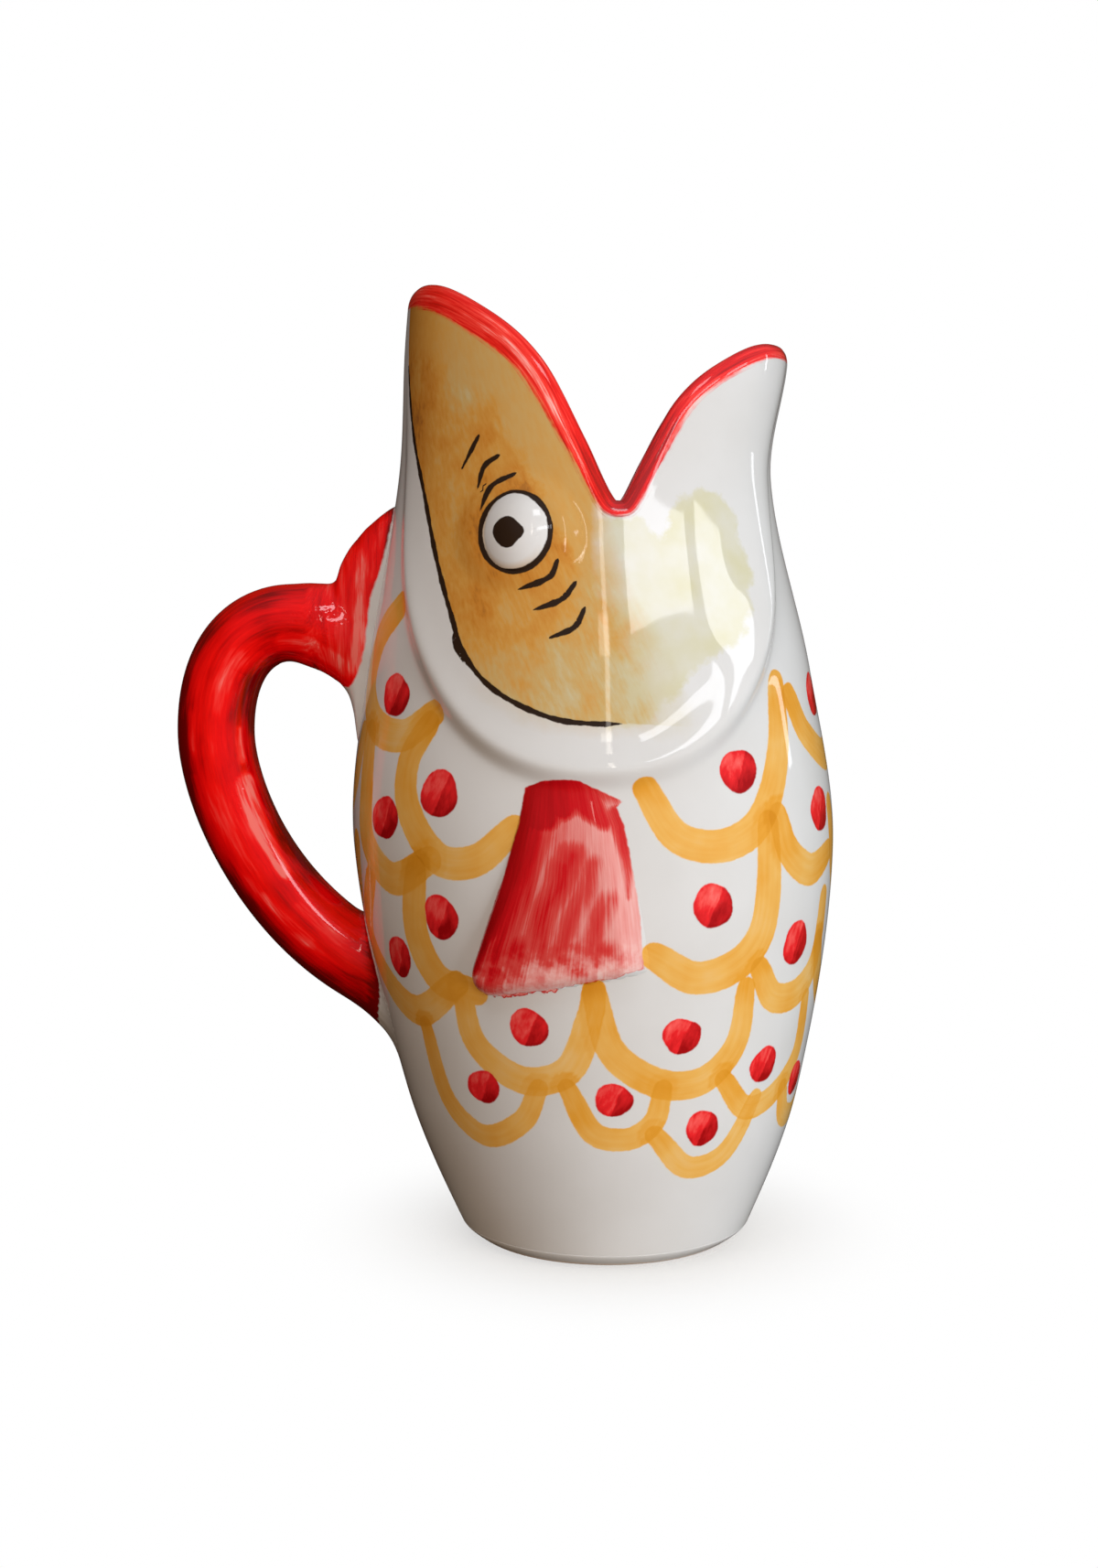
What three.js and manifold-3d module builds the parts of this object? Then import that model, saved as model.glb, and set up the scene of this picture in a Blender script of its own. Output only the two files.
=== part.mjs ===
// Fish pitcher: a glazed earthenware jug in the form of a fish that stands upright with its mouth open at the top.
// Millimetres, +Z up. The origin is the centre of the foot, on the surface that the jug stands on.
// +X points to the fish's belly and lower jaw. -X points to its back, where the tail curls up as the handle.
// A place on the skin is a bearing, the angle from +X round towards +Y, and a height above the foot.

import * as THREE from "three";
import { mergeVertices } from "three/addons/utils/BufferGeometryUtils.js";
import Module from "manifold-3d";

// Overall sizes
const JUG_HEIGHT = 280; // foot to the top of the snout
const WALL = 5.6; // cast wall
const FLOOR = 6; // cast floor, above the foot
const GAP = 0.3; // clearance between pieces that are luted together

// Foot
const FOOT_RADIUS = 38.5;
const HEEL_HEIGHT = 4.5; // the rounded edge of the foot ends here
const HEEL_RADIUS = 43.6;

// The skin's section at four heights: how far it reaches to the back, the front and each side
const BELLY_HEIGHT = 118;
const BELLY_BACK = 75;
const BELLY_FRONT = 67.3;
const BELLY_SIDE = 63;
const SHOULDER_HEIGHT = 170;
const SHOULDER_BACK = 70.5;
const SHOULDER_FRONT = 59.8;
const SHOULDER_SIDE = 54;
const NECK_HEIGHT = 225;
const NECK_BACK = 61;
const NECK_FRONT = 47.8;
const NECK_SIDE = 42.5;
const MOUTH_HEIGHT = 262;
const MOUTH_BACK = 59;
const MOUTH_FRONT = 52.5;
const MOUTH_SIDE = 38;
const CREST_TAPER = 4; // how much front and sides draw in from the mouth's height up to the snout's crest
const CREST_TAPER_BACK = 1.5; // and the back

// Mouth, as the side view shows it: a tall snout, a notch at the corner of the mouth and a shorter lower jaw
const SNOUT_CREST_BACK = 54.5; // how far behind the axis the snout is tallest
const SNOUT_TIP_RADIUS = 5.7;
const NOTCH_HEIGHT = 219.3;
const NOTCH_FRONT = 4; // how far in front of the axis the notch lies
const JAW_HEIGHT = 262.6;
const JAW_CREST_FRONT = 48;
const JAW_TIP_RADIUS = 15.6;
const LIP_RISE = 5; // rounded part of the lip
const RIM_BAND = 1.5; // straight part of the lip below its rounded edge

// Gill edge: the head stands proud of the belly inside a U on each side
const GILL_STEP = 3;
const GILL_BLEND = 7;
const GILL_BOTTOM_HEIGHT = 142;
const GILL_RISE = 64;
const GILL_BEARING = 88;
const GILL_SPAN = 65; // degrees from the bottom of the U to each end

// Eyes
const EYE_BEARING = 108;
const EYE_HEIGHT = 210.3;
const EYE_RADIUS = 10;
const EYE_CROWN = 4;

// Pectoral fins: narrow under the gill, wide and thick at the hem
const FIN_TOP_BEARING = 93;
const FIN_HEM_BEARING = 99;
const FIN_TOP_HEIGHT = 142;
const FIN_HEM_HEIGHT = 85.5;
const FIN_HEM_TILT = 3; // the hem's front corner is this much higher than its middle
const FIN_TOP_WIDTH = 27;
const FIN_HEM_WIDTH = 53;
const FIN_TOP_THICKNESS = 1.2;
const FIN_HEM_THICKNESS = 5.5;

// Tail: a stalk that leaves the back low down and curls up to the tail fin on the nape
const TAIL_FOOT_HEIGHT = 77;
const TAIL_BOW_HEIGHT = 150;
const TAIL_TOP_HEIGHT = 183.5;
const TAIL_ARCH = 2.5; // how far the stalk's curve is pulled up above its top height
const TAIL_REACH = 41.5; // from the belly's back to the stalk's centreline at the bow
const TAIL_DEPTH = 22.8; // stalk's section in the plane of the loop
const TAIL_WIDTH = 21; // stalk's section across the loop
const TAIL_FLARE = 0.8; // how much further out the stalk's skin is where it meets the belly
const TAIL_FLARE_LENGTH = 60;
const TAIL_FIN_ROOT = 11; // from the nape back to the joint between stalk and tail fin
const TAIL_FIN_RISE = 33.5; // from the tail's top height up to the tip of the upper lobe
const TAIL_FIN_DROP = 23.5; // and down to the tip of the lower lobe
const TAIL_FIN_ROUND = 5;

// How finely curves are divided
const AROUND = 56;
const HEEL_STEPS = 4;
const UP_OUTSIDE = 30;
const UP_INSIDE = 15;
const LIP_STEPS = 6;
const STALK_SIDES = 18;
const STALK_STEPS = 34;

// How far the tail's centreline runs on inside the skin, so that the skin cuts the whole stalk
const TAIL_INSIDE = 5 * WALL;

const wasm = await Module();
wasm.setup();

const radians = THREE.MathUtils.degToRad;
const mix = THREE.MathUtils.lerp;
const smooth = (x) => THREE.MathUtils.smoothstep(x, 0, 1);

// Sections from the foot up. Between two named heights a station lies on the easy curve through its neighbours.
const SECTIONS = [
  { z: 0, back: FOOT_RADIUS, front: FOOT_RADIUS, side: FOOT_RADIUS },
  { z: HEEL_HEIGHT, back: HEEL_RADIUS, front: HEEL_RADIUS, side: HEEL_RADIUS },
  flank(0.36, 0.52, 0.6, 0.62),
  { z: BELLY_HEIGHT, back: BELLY_BACK, front: BELLY_FRONT, side: BELLY_SIDE },
  { z: SHOULDER_HEIGHT, back: SHOULDER_BACK, front: SHOULDER_FRONT, side: SHOULDER_SIDE },
  { z: NECK_HEIGHT, back: NECK_BACK, front: NECK_FRONT, side: NECK_SIDE },
  { z: MOUTH_HEIGHT, back: MOUTH_BACK, front: MOUTH_FRONT, side: MOUTH_SIDE },
  {
    z: JUG_HEIGHT,
    back: MOUTH_BACK - CREST_TAPER_BACK,
    front: MOUTH_FRONT - CREST_TAPER,
    side: MOUTH_SIDE - CREST_TAPER,
  },
];

// The station between heel and belly, as shares of the way up and of the way out.
function flank(up, outBack, outFront, outSide) {
  return {
    z: mix(HEEL_HEIGHT, BELLY_HEIGHT, up),
    back: mix(HEEL_RADIUS, BELLY_BACK, outBack),
    front: mix(HEEL_RADIUS, BELLY_FRONT, outFront),
    side: mix(HEEL_RADIUS, BELLY_SIDE, outSide),
  };
}

// The mouth's edge from the notch to either crest, as shares of the way along and of the way up.
// One station beyond each end makes the edge level at the notch and at the crest.
const MOUTH_EDGE = [
  { along: -0.1, up: 0.045 },
  { along: 0, up: 0 },
  { along: 0.1, up: 0.045 },
  { along: 0.25, up: 0.32 },
  { along: 0.45, up: 0.665 },
  { along: 0.7, up: 0.88 },
  { along: 1, up: 1 },
  { along: 1.3, up: 0.88 },
];
const LIP_LOW = NOTCH_HEIGHT - LIP_RISE;

// A cubic through stations, which has at each station the slope between its neighbours.
function cubicThrough(stations, across, key, at) {
  const last = stations.length - 1;
  const above = stations.findIndex((s) => s[across] > at);
  const i = above < 0 ? last - 1 : Math.max(above - 1, 0);
  const slope = (k) => {
    const before = stations[Math.max(k - 1, 0)];
    const after = stations[Math.min(k + 1, last)];
    return (after[key] - before[key]) / (after[across] - before[across]);
  };
  const [low, high] = [stations[i], stations[i + 1]];
  const span = high[across] - low[across];
  const t = (at - low[across]) / span;
  const ends = (1 + 2 * t) * (1 - t) ** 2 * low[key] + t * t * (3 - 2 * t) * high[key];
  return ends + span * (t * (1 - t) ** 2 * slope(i) + t * t * (t - 1) * slope(i + 1));
}

// One reach of the section at a height.
const reach = (key, z) => cubicThrough(SECTIONS, "z", key, z);

// How far the head's skin stands out at a place, because of the gill edge.
function gillRelief(bearing, z) {
  const degrees = Math.abs(THREE.MathUtils.radToDeg(bearing));
  const along = Math.abs(degrees - GILL_BEARING) / GILL_SPAN;
  const edge = GILL_BOTTOM_HEIGHT + GILL_RISE * along ** 2.3;
  const steepness = (GILL_RISE * 2.3 * along ** 1.3) / (radians(GILL_SPAN) * reach("side", z));
  const inside = (z - edge) / Math.hypot(1, steepness);
  const fade = 1 - smooth((along - 0.75) / 0.5);
  return GILL_STEP * smooth(inside / GILL_BLEND + 0.3) * fade;
}

// A point of the outer skin, moved out by offset.
function skin(bearing, z, offset = 0, relief = true) {
  const back = reach("back", z);
  const front = reach("front", z);
  const long = (back + front) / 2;
  const side = reach("side", z);
  const out = new THREE.Vector2(Math.cos(bearing) / long, Math.sin(bearing) / side).normalize();
  const far = offset + (relief ? gillRelief(bearing, z) : 0);
  const x = (front - back) / 2 + long * Math.cos(bearing) + far * out.x;
  return new THREE.Vector3(x, side * Math.sin(bearing) + far * out.y, z);
}

// Direction out of the skin.
function skinNormal(bearing, z) {
  const across = skin(bearing + 0.01, z).sub(skin(bearing - 0.01, z));
  const up = skin(bearing, z + 0.5).sub(skin(bearing, z - 0.5));
  return across.cross(up).normalize();
}

// Height of the mouth's edge in the side view, where the rounded lip begins.
function mouthLine(x) {
  const toSnout = x < NOTCH_FRONT;
  const crest = toSnout ? -SNOUT_CREST_BACK : JAW_CREST_FRONT;
  const top = (toSnout ? JUG_HEIGHT : JAW_HEIGHT) - LIP_RISE;
  const tipRadius = toSnout ? SNOUT_TIP_RADIUS : JAW_TIP_RADIUS;
  const away = Math.abs(x - NOTCH_FRONT);
  const span = Math.abs(crest - NOTCH_FRONT);
  if (away > span) return top - (away - span) ** 2 / (2 * tipRadius);
  return mix(LIP_LOW, top, cubicThrough(MOUTH_EDGE, "along", "up", away / span));
}

// Height where the skin at a bearing reaches the mouth's edge, found by halving.
function mouthHeight(bearing) {
  let low = LIP_LOW - WALL;
  let high = JUG_HEIGHT;
  for (let i = 0; i < 30; i++) {
    const middle = (low + high) / 2;
    if (middle < mouthLine(skin(bearing, middle).x)) low = middle;
    else high = middle;
  }
  return (low + high) / 2;
}

// The lip at a bearing: its start on the skin, the way out of the wall and the way up to the lip's edge.
function lipFrame(bearing) {
  const at = (b) => skin(b, mouthHeight(b));
  const start = at(bearing);
  const along = at(bearing + 0.005).sub(at(bearing - 0.005)).normalize();
  const out = skinNormal(bearing, start.z);
  const up = out.clone().cross(along).normalize();
  if (up.z < 0) up.negate();
  return { start, out, up };
}

// A point of the lip's section: depth into the wall from the skin, and height above the lip's start.
const lipPoint = ({ start, out, up }, depth, height) =>
  start.clone().addScaledVector(out, -depth).addScaledVector(up, height);

const BEARINGS = Array.from({ length: AROUND }, (_, i) => ((i + 0.5) / AROUND) * 2 * Math.PI - Math.PI);
const LIPS = BEARINGS.map(lipFrame);
const MOUTH_HEIGHTS = LIPS.map((lip) => lip.start.z);

// Height of a row of the skin: level below the shoulder, and following the mouth's edge further up.
function rowHeight(share, bottom, mouth) {
  const level = mix(bottom, LIP_LOW, share);
  return level + (mouth - LIP_LOW) * smooth((share - 0.45) / 0.55);
}

// A closed body through rings of points, with a middle point at each end, or joined end to end.
function loft(rings, joined = false) {
  const sides = rings[0].length;
  const points = rings.flat();
  const faces = [];
  const last = joined ? rings.length : rings.length - 1;
  for (let r = 0; r < last; r++) {
    const lower = r * sides;
    const upper = ((r + 1) % rings.length) * sides;
    for (let s = 0; s < sides; s++) {
      const next = (s + 1) % sides;
      faces.push(lower + s, lower + next, upper + next, lower + s, upper + next, upper + s);
    }
  }
  if (!joined) {
    const middle = (ring) => ring.reduce((sum, p) => sum.add(p), new THREE.Vector3()).divideScalar(sides);
    const top = (rings.length - 1) * sides;
    points.push(middle(rings[0]), middle(rings.at(-1)));
    for (let s = 0; s < sides; s++) {
      const next = (s + 1) % sides;
      faces.push(next, s, points.length - 2, top + s, top + next, points.length - 1);
    }
  }
  const geometry = new THREE.BufferGeometry().setFromPoints(points);
  geometry.setIndex(faces);
  return geometry;
}

// A solid that can be cut, from a closed geometry, and back.
function solidOf(geometry) {
  const bare = geometry.clone();
  bare.deleteAttribute("normal");
  bare.deleteAttribute("uv");
  const merged = mergeVertices(bare, 1e-4);
  const vertProperties = new Float32Array(merged.attributes.position.array);
  const triVerts = new Uint32Array(merged.index.array);
  return new wasm.Manifold(new wasm.Mesh({ numProp: 3, vertProperties, triVerts }));
}

function geometryOf(solid) {
  const mesh = solid.getMesh();
  const geometry = new THREE.BufferGeometry();
  geometry.setAttribute("position", new THREE.BufferAttribute(mesh.vertProperties, 3));
  geometry.setIndex(new THREE.BufferAttribute(mesh.triVerts, 1));
  return geometry;
}

// A block from one corner to another, for cutting.
function block(low, high) {
  const size = high.clone().sub(low);
  const box = new THREE.BoxGeometry(size.x, size.y, size.z);
  return solidOf(box.translate(...low.clone().add(high).multiplyScalar(0.5)));
}

// The jug's outside as one solid, a gap larger, which cuts a seat into each piece that is luted on.
function outside() {
  const bottom = HEEL_HEIGHT;
  const rings = Array.from({ length: UP_OUTSIDE + 1 }, (_, row) =>
    BEARINGS.map((b, i) => skin(b, rowHeight(row / UP_OUTSIDE, bottom, MOUTH_HEIGHTS[i]), GAP)),
  );
  return solidOf(loft(rings));
}

// The tail's centreline, from inside the belly's wall out to the bow and up to the nape.
function tailPath() {
  const low = new THREE.Vector3(-reach("back", TAIL_FOOT_HEIGHT), 0, TAIL_FOOT_HEIGHT);
  const bow = new THREE.Vector3(-BELLY_BACK - TAIL_REACH, 0, TAIL_BOW_HEIGHT);
  const top = new THREE.Vector3(-reach("back", TAIL_TOP_HEIGHT), 0, TAIL_TOP_HEIGHT);
  const out = bow.x - low.x;
  const rise = bow.z - low.z;
  const fall = top.z - bow.z;
  const leave = low.clone().add(new THREE.Vector3(0.46 * out, 0, 0.27 * rise));
  const arrive = bow.clone().add(new THREE.Vector3(0, 0, -0.42 * rise));
  const turn = bow.clone().add(new THREE.Vector3(0, 0, 0.9 * fall));
  const reachNape = new THREE.Vector3(mix(bow.x, top.x, 0.28), 0, top.z + TAIL_ARCH);
  const inward = low.clone().sub(leave).setLength(TAIL_INSIDE);
  const lower = new THREE.CubicBezierCurve3(low, leave, arrive, bow);
  const upper = new THREE.CubicBezierCurve3(bow, turn, reachNape, top);
  const points = [low.clone().add(inward), ...lower.getPoints(8), ...upper.getPoints(6).slice(1)];
  return new THREE.CatmullRomCurve3(points, false, "centripetal");
}

// A rod of oval section along an upright path, its half sizes given by the distance from the path's start.
function ovalRod(path, steps, sides, halfSizes) {
  const length = path.getLength();
  const rings = Array.from({ length: steps + 1 }, (_, i) => {
    const centre = path.getPointAt(i / steps);
    const forward = path.getTangentAt(i / steps);
    const across = new THREE.Vector3(0, 1, 0);
    const up = across.clone().cross(forward).normalize();
    const [halfDepth, halfWidth] = halfSizes((i / steps) * length);
    return Array.from({ length: sides }, (_, s) => {
      const turn = (s / sides) * 2 * Math.PI;
      const point = centre.clone().addScaledVector(up, halfDepth * Math.sin(turn));
      return point.addScaledVector(across, halfWidth * Math.cos(turn));
    });
  });
  return solidOf(loft(rings.map((ring) => ring.reverse())));
}

// Foot: the disc that the jug stands on, with a rounded edge.
function foot() {
  const edge = Array.from({ length: HEEL_STEPS + 1 }, (_, i) => {
    const z = (HEEL_HEIGHT - GAP) * (i / HEEL_STEPS);
    return new THREE.Vector2(reach("side", z), z);
  });
  const profile = [new THREE.Vector2(0, 0), ...edge, new THREE.Vector2(0, HEEL_HEIGHT - GAP)];
  return new THREE.LatheGeometry(profile, AROUND).rotateX(Math.PI / 2);
}

// Body: floor, belly, gills and jaws in one hollow casting.
function body() {
  const edge = -RIM_BAND - GAP;
  const rows = UP_OUTSIDE - 1;
  const outerRow = (row) =>
    BEARINGS.map((b, i) => skin(b, rowHeight(row / UP_OUTSIDE, HEEL_HEIGHT, MOUTH_HEIGHTS[i])));
  const innerRow = (row) =>
    BEARINGS.map((b, i) => {
      const z = rowHeight(row / UP_INSIDE, HEEL_HEIGHT + FLOOR, MOUTH_HEIGHTS[i]);
      return skin(b, z, -WALL, false);
    });
  const rings = Array.from({ length: rows + 1 }, (_, row) => outerRow(row));
  rings.push(LIPS.map((lip) => lipPoint(lip, 0, edge)));
  rings.push(LIPS.map((lip) => lipPoint(lip, WALL, edge)));
  for (let row = UP_INSIDE - 1; row >= 0; row--) rings.push(innerRow(row));
  return loft(rings);
}

// Rim: the rounded lip round the mouth.
function rim() {
  const lip = WALL / 2;
  const section = [new THREE.Vector2(0, -RIM_BAND)];
  for (let i = 0; i <= LIP_STEPS; i++) {
    const turn = (i / LIP_STEPS) * Math.PI;
    section.push(new THREE.Vector2(lip - lip * Math.cos(turn), LIP_RISE * Math.sin(turn)));
  }
  section.push(new THREE.Vector2(WALL, -RIM_BAND));
  return loft(section.map((p) => LIPS.map((frame) => lipPoint(frame, p.x, p.y))), true);
}

// Half sizes of the tail's stalk, which flares a little where it leaves the belly.
function stalkSizes(at) {
  const flare = TAIL_FLARE * (1 - smooth((at - TAIL_INSIDE) / TAIL_FLARE_LENGTH));
  return [TAIL_DEPTH / 2 + flare, TAIL_WIDTH / 2 + flare];
}

// Where the stalk ends and the tail fin begins.
const tailRoot = () => -reach("back", TAIL_TOP_HEIGHT) - TAIL_FIN_ROOT;

// Tail handle: the stalk, seated on the back at its lower end and on the tail fin at its upper end.
function tailHandle(jug) {
  const stalk = ovalRod(tailPath(), STALK_STEPS, STALK_SIDES, stalkSizes);
  const beyond = block(
    new THREE.Vector3(tailRoot(), -TAIL_WIDTH, TAIL_TOP_HEIGHT - TAIL_DEPTH),
    new THREE.Vector3(0, TAIL_WIDTH, TAIL_TOP_HEIGHT + TAIL_DEPTH),
  );
  return geometryOf(stalk.subtract(jug).subtract(beyond));
}

// Tail fin: the two lobes at the top of the tail, which lie against the nape.
function tailFin(jug) {
  const root = tailRoot();
  const [low, high] = [TAIL_TOP_HEIGHT - TAIL_DEPTH / 2, TAIL_TOP_HEIGHT + TAIL_DEPTH / 2];
  const [lowTip, highTip] = [TAIL_TOP_HEIGHT - TAIL_FIN_DROP, TAIL_TOP_HEIGHT + TAIL_FIN_RISE];
  const nape = (z, depth) => -reach("back", z) + depth;
  const outline = new THREE.Shape();
  outline.moveTo(root - 2 * TAIL_FIN_ROUND, low);
  outline.lineTo(root - 2 * TAIL_FIN_ROUND, high);
  outline.lineTo(root, high);
  outline.quadraticCurveTo(root - 1, mix(high, highTip, 0.5), nape(highTip, 0), highTip);
  outline.lineTo(nape(highTip, 2 * WALL), highTip);
  outline.lineTo(nape(lowTip, 2 * WALL), lowTip);
  outline.lineTo(nape(lowTip, -1), lowTip);
  outline.quadraticCurveTo(root, low, root - 2 * TAIL_FIN_ROUND, low);
  const geometry = new THREE.ExtrudeGeometry(outline, {
    depth: TAIL_WIDTH - 2 * TAIL_FIN_ROUND,
    bevelThickness: TAIL_FIN_ROUND,
    bevelSize: TAIL_FIN_ROUND,
    bevelOffset: -TAIL_FIN_ROUND,
    bevelSegments: 4,
    curveSegments: 8,
  });
  geometry.translate(0, 0, TAIL_FIN_ROUND - TAIL_WIDTH / 2).rotateX(Math.PI / 2);
  const stalkSide = block(
    new THREE.Vector3(root - 4 * TAIL_FIN_ROUND, -TAIL_WIDTH, lowTip - TAIL_DEPTH),
    new THREE.Vector3(root + GAP, TAIL_WIDTH, highTip + TAIL_DEPTH),
  );
  return geometryOf(solidOf(geometry).subtract(stalkSide).subtract(jug));
}

// Pectoral fin on one side: a pad that thickens towards its hem. side is +1 for the fish's left.
function pectoralFin(side, jug) {
  const steps = 10;
  const across = 8;
  const rings = Array.from({ length: steps + 1 }, (_, row) => {
    const down = row / steps;
    const middle = radians(mix(FIN_TOP_BEARING, FIN_HEM_BEARING, down));
    const halfWidth = mix(FIN_TOP_WIDTH, FIN_HEM_WIDTH, smooth(down)) / 2;
    const thickness = mix(FIN_TOP_THICKNESS, FIN_HEM_THICKNESS, down ** 1.3);
    const place = (share, offset) => {
      const z = mix(FIN_TOP_HEIGHT, FIN_HEM_HEIGHT + FIN_HEM_TILT * share, down);
      const bearing = middle - (2 * share * halfWidth) / (reach("back", z) + reach("front", z));
      return skin(side * bearing, z, offset, false);
    };
    const shares = Array.from({ length: across + 1 }, (_, i) => (2 * i) / across - 1);
    const outer = shares.map((s) => place(s, thickness * (1 - s ** 4) ** 0.5 + GAP));
    const inner = shares.map((s) => place(s, -WALL / 2)).reverse();
    return [...outer, ...inner];
  });
  const ordered = side > 0 ? rings : rings.map((ring) => ring.reverse());
  return geometryOf(solidOf(loft(ordered)).subtract(jug));
}

// Eye on one side: a low dome seated on the cheek.
function eye(side, jug) {
  const bearing = side * radians(EYE_BEARING);
  const dome = new THREE.SphereGeometry(1, 24, 14).scale(EYE_RADIUS, EYE_RADIUS, EYE_CROWN);
  const outward = skinNormal(bearing, EYE_HEIGHT);
  dome.applyQuaternion(new THREE.Quaternion().setFromUnitVectors(new THREE.Vector3(0, 0, 1), outward));
  dome.translate(...skin(bearing, EYE_HEIGHT));
  return geometryOf(solidOf(dome).subtract(jug));
}

// Finishes
const whiteGlaze = new THREE.MeshStandardMaterial({ color: 0xe9e7e1, roughness: 0.12, metalness: 0 });
const redGlaze = new THREE.MeshStandardMaterial({ color: 0xc0141c, roughness: 0.14, metalness: 0 });
const rimGlaze = new THREE.MeshStandardMaterial({ color: 0xe02a30, roughness: 0.12, metalness: 0 });
const finGlaze = new THREE.MeshStandardMaterial({ color: 0xcf4a4e, roughness: 0.18, metalness: 0 });
const bareClay = new THREE.MeshStandardMaterial({ color: 0xd9c9b8, roughness: 0.85, metalness: 0 });

const pitcher = new THREE.Group();

function addPiece(name, geometry, material) {
  const piece = new THREE.Mesh(geometry, material);
  piece.name = name;
  pitcher.add(piece);
}

const jug = outside();

addPiece("foot", foot(), bareClay);
addPiece("body_shell", body(), whiteGlaze);
addPiece("mouth_rim", rim(), rimGlaze);
addPiece("tail_handle", tailHandle(jug), redGlaze);
addPiece("tail_fin", tailFin(jug), redGlaze);
for (const [side, label] of [[1, "left"], [-1, "right"]]) {
  addPiece(`pectoral_fin_${label}`, pectoralFin(side, jug), finGlaze);
  addPiece(`eye_${label}`, eye(side, jug), whiteGlaze);
}

export default pitcher;
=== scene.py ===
import math
from functools import partial

import bpy
import numpy as np
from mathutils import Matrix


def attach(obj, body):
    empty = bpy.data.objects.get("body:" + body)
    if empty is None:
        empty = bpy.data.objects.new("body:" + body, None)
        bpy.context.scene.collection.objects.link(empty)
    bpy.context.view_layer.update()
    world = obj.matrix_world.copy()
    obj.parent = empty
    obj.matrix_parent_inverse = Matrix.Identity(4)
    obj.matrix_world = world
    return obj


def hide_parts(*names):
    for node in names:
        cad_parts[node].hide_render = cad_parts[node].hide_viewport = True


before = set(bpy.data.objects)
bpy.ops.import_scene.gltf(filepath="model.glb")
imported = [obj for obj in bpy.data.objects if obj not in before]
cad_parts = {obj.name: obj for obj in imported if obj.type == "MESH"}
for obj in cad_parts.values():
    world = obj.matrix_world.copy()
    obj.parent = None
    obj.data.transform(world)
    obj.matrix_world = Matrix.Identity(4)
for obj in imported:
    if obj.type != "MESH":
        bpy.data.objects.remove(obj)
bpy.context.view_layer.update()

# Fish pitcher: slip-cast white earthenware, painted by hand in underglaze colours and dipped in clear glaze.
# All sizes are in millimetres until a mesh is made. A place on the skin is a bearing in degrees, from the
# belly at 0 to the back at 180, and a height. The fish's right side, which faces the camera, has side -1.

MM = 0.001
RIGHT, LEFT = -1, 1
rng = np.random.default_rng(12)

# The jug's form

WALL = 5.6
FLOOR, FLOOR_CORNER = 6.0, 12.0  # thickness inside, radius where it meets the wall
HEEL_HEIGHT = 4.5
JUG_HEIGHT = 280.0
JAW_HEIGHT = 262.6
NOTCH_HEIGHT = 219.3
NOTCH_FRONT = 4.0
SNOUT_CREST_BACK, SNOUT_TIP_RADIUS = 54.5, 5.7
JAW_CREST_FRONT, JAW_TIP_RADIUS = 48.0, 15.6
LIP_RISE, LIP_LENGTH = 5.0, 12.0  # the length is about that over the lip
RIM_BAND = 1.5
LIP_LOW = NOTCH_HEIGHT - LIP_RISE

# Height, then how far the skin reaches to the back, the front and each side
SECTIONS = np.array([
    (0, 38.5, 38.5, 38.5),
    (HEEL_HEIGHT, 43.6, 43.6, 43.6),
    (45.36, 59.93, 57.82, 55.63),
    (118, 75, 67.3, 63),
    (170, 70.5, 59.8, 54),
    (225, 61, 47.8, 42.5),
    (262, 59, 52.5, 38),
    (JUG_HEIGHT, 57.5, 48.5, 34),
])
BACK, FRONT, SIDE = 1, 2, 3

# The mouth's edge from the notch to either crest: share of the way along, share of the way up
MOUTH_EDGE = [
    (-0.1, 0.045), (0, 0), (0.1, 0.045), (0.25, 0.32), (0.45, 0.665), (0.7, 0.88), (1, 1), (1.3, 0.88),
]

GILL_STEP, GILL_BLEND = 3.0, 7.0
GILL_ROLL, GILL_ROLL_PLACE, GILL_ROLL_HALF = 0.9, 3.5, 5.0  # the edge's rounded roll
GILL_BOTTOM, GILL_RISE, GILL_BOW = 142.0, 64.0, 2.3
GILL_BEARING, GILL_SPAN = 88.0, 65.0
CHEEK_BEARING, CHEEK_BLEND = 82.0, 26.0  # in front of this bearing the roll grows fuller

EYE_PLACE = (107.9, 210.2)
EYE_HALF_WIDTH, EYE_HALF_HEIGHT = 10.2, 11.1
EYE_CROWN = 3.2
EYE_SUNK, EYE_UNDER = 0.15, 1.5  # how far the dome's edge and its underside lie below the skin
EYE_MOUND, EYE_MOUND_RADIUS, EYE_MOUND_BLEND = 1.2, 18.0, 8.0
EYE_ARC = 0.87  # millimetres of skin in a degree of bearing at the eye

# A pectoral fin's edges as moulded: height, bearing
FIN_REAR = [(79, 123.2), (85, 121.5), (100, 115.8), (116, 110.2), (131, 106.4), (141, 104.6), (147, 101.6)]
FIN_FRONT = [(79, 75.2), (90, 75.8), (100, 76.8), (116, 78.6), (131, 81), (141, 84.5), (147, 90)]
FIN_TOP, FIN_BOTTOM = 146.5, 80.2
FIN_ROOT, FIN_HEM_THICKNESS = 0.3, 5.3  # thickness at the top and at the hem
FIN_HEM_RISE = 9.5  # how far the hem climbs towards the front edge
FIN_FULL = 85.0  # height where it has grown to its full thickness
FIN_ROUND, FIN_FRONT_SOFT = 4.5, 9.0  # width of the round at the rear edge and the hem, and of the soft front
FIN_CORNER, FIN_CORNER_SHARE = 7.0, 0.16  # height and share of the width of the rounded rear corner
FIN_SUNK, FIN_UNDER = 0.35, 1.2  # how far its edge and its underside lie below the skin

TAIL_FOOT, TAIL_BOW, TAIL_TOP = 79.0, 150.5, 175.0
TAIL_REACH, TAIL_ARCH = 41.2, 17.0
TAIL_HALF_DEPTH, TAIL_HALF_WIDTH = 11.4, 10.5
TAIL_FLARE, TAIL_FLARE_LENGTH = 0.8, 60.0
TAIL_SUNK = 2.0  # how far the tail's ends run into the wall

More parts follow.
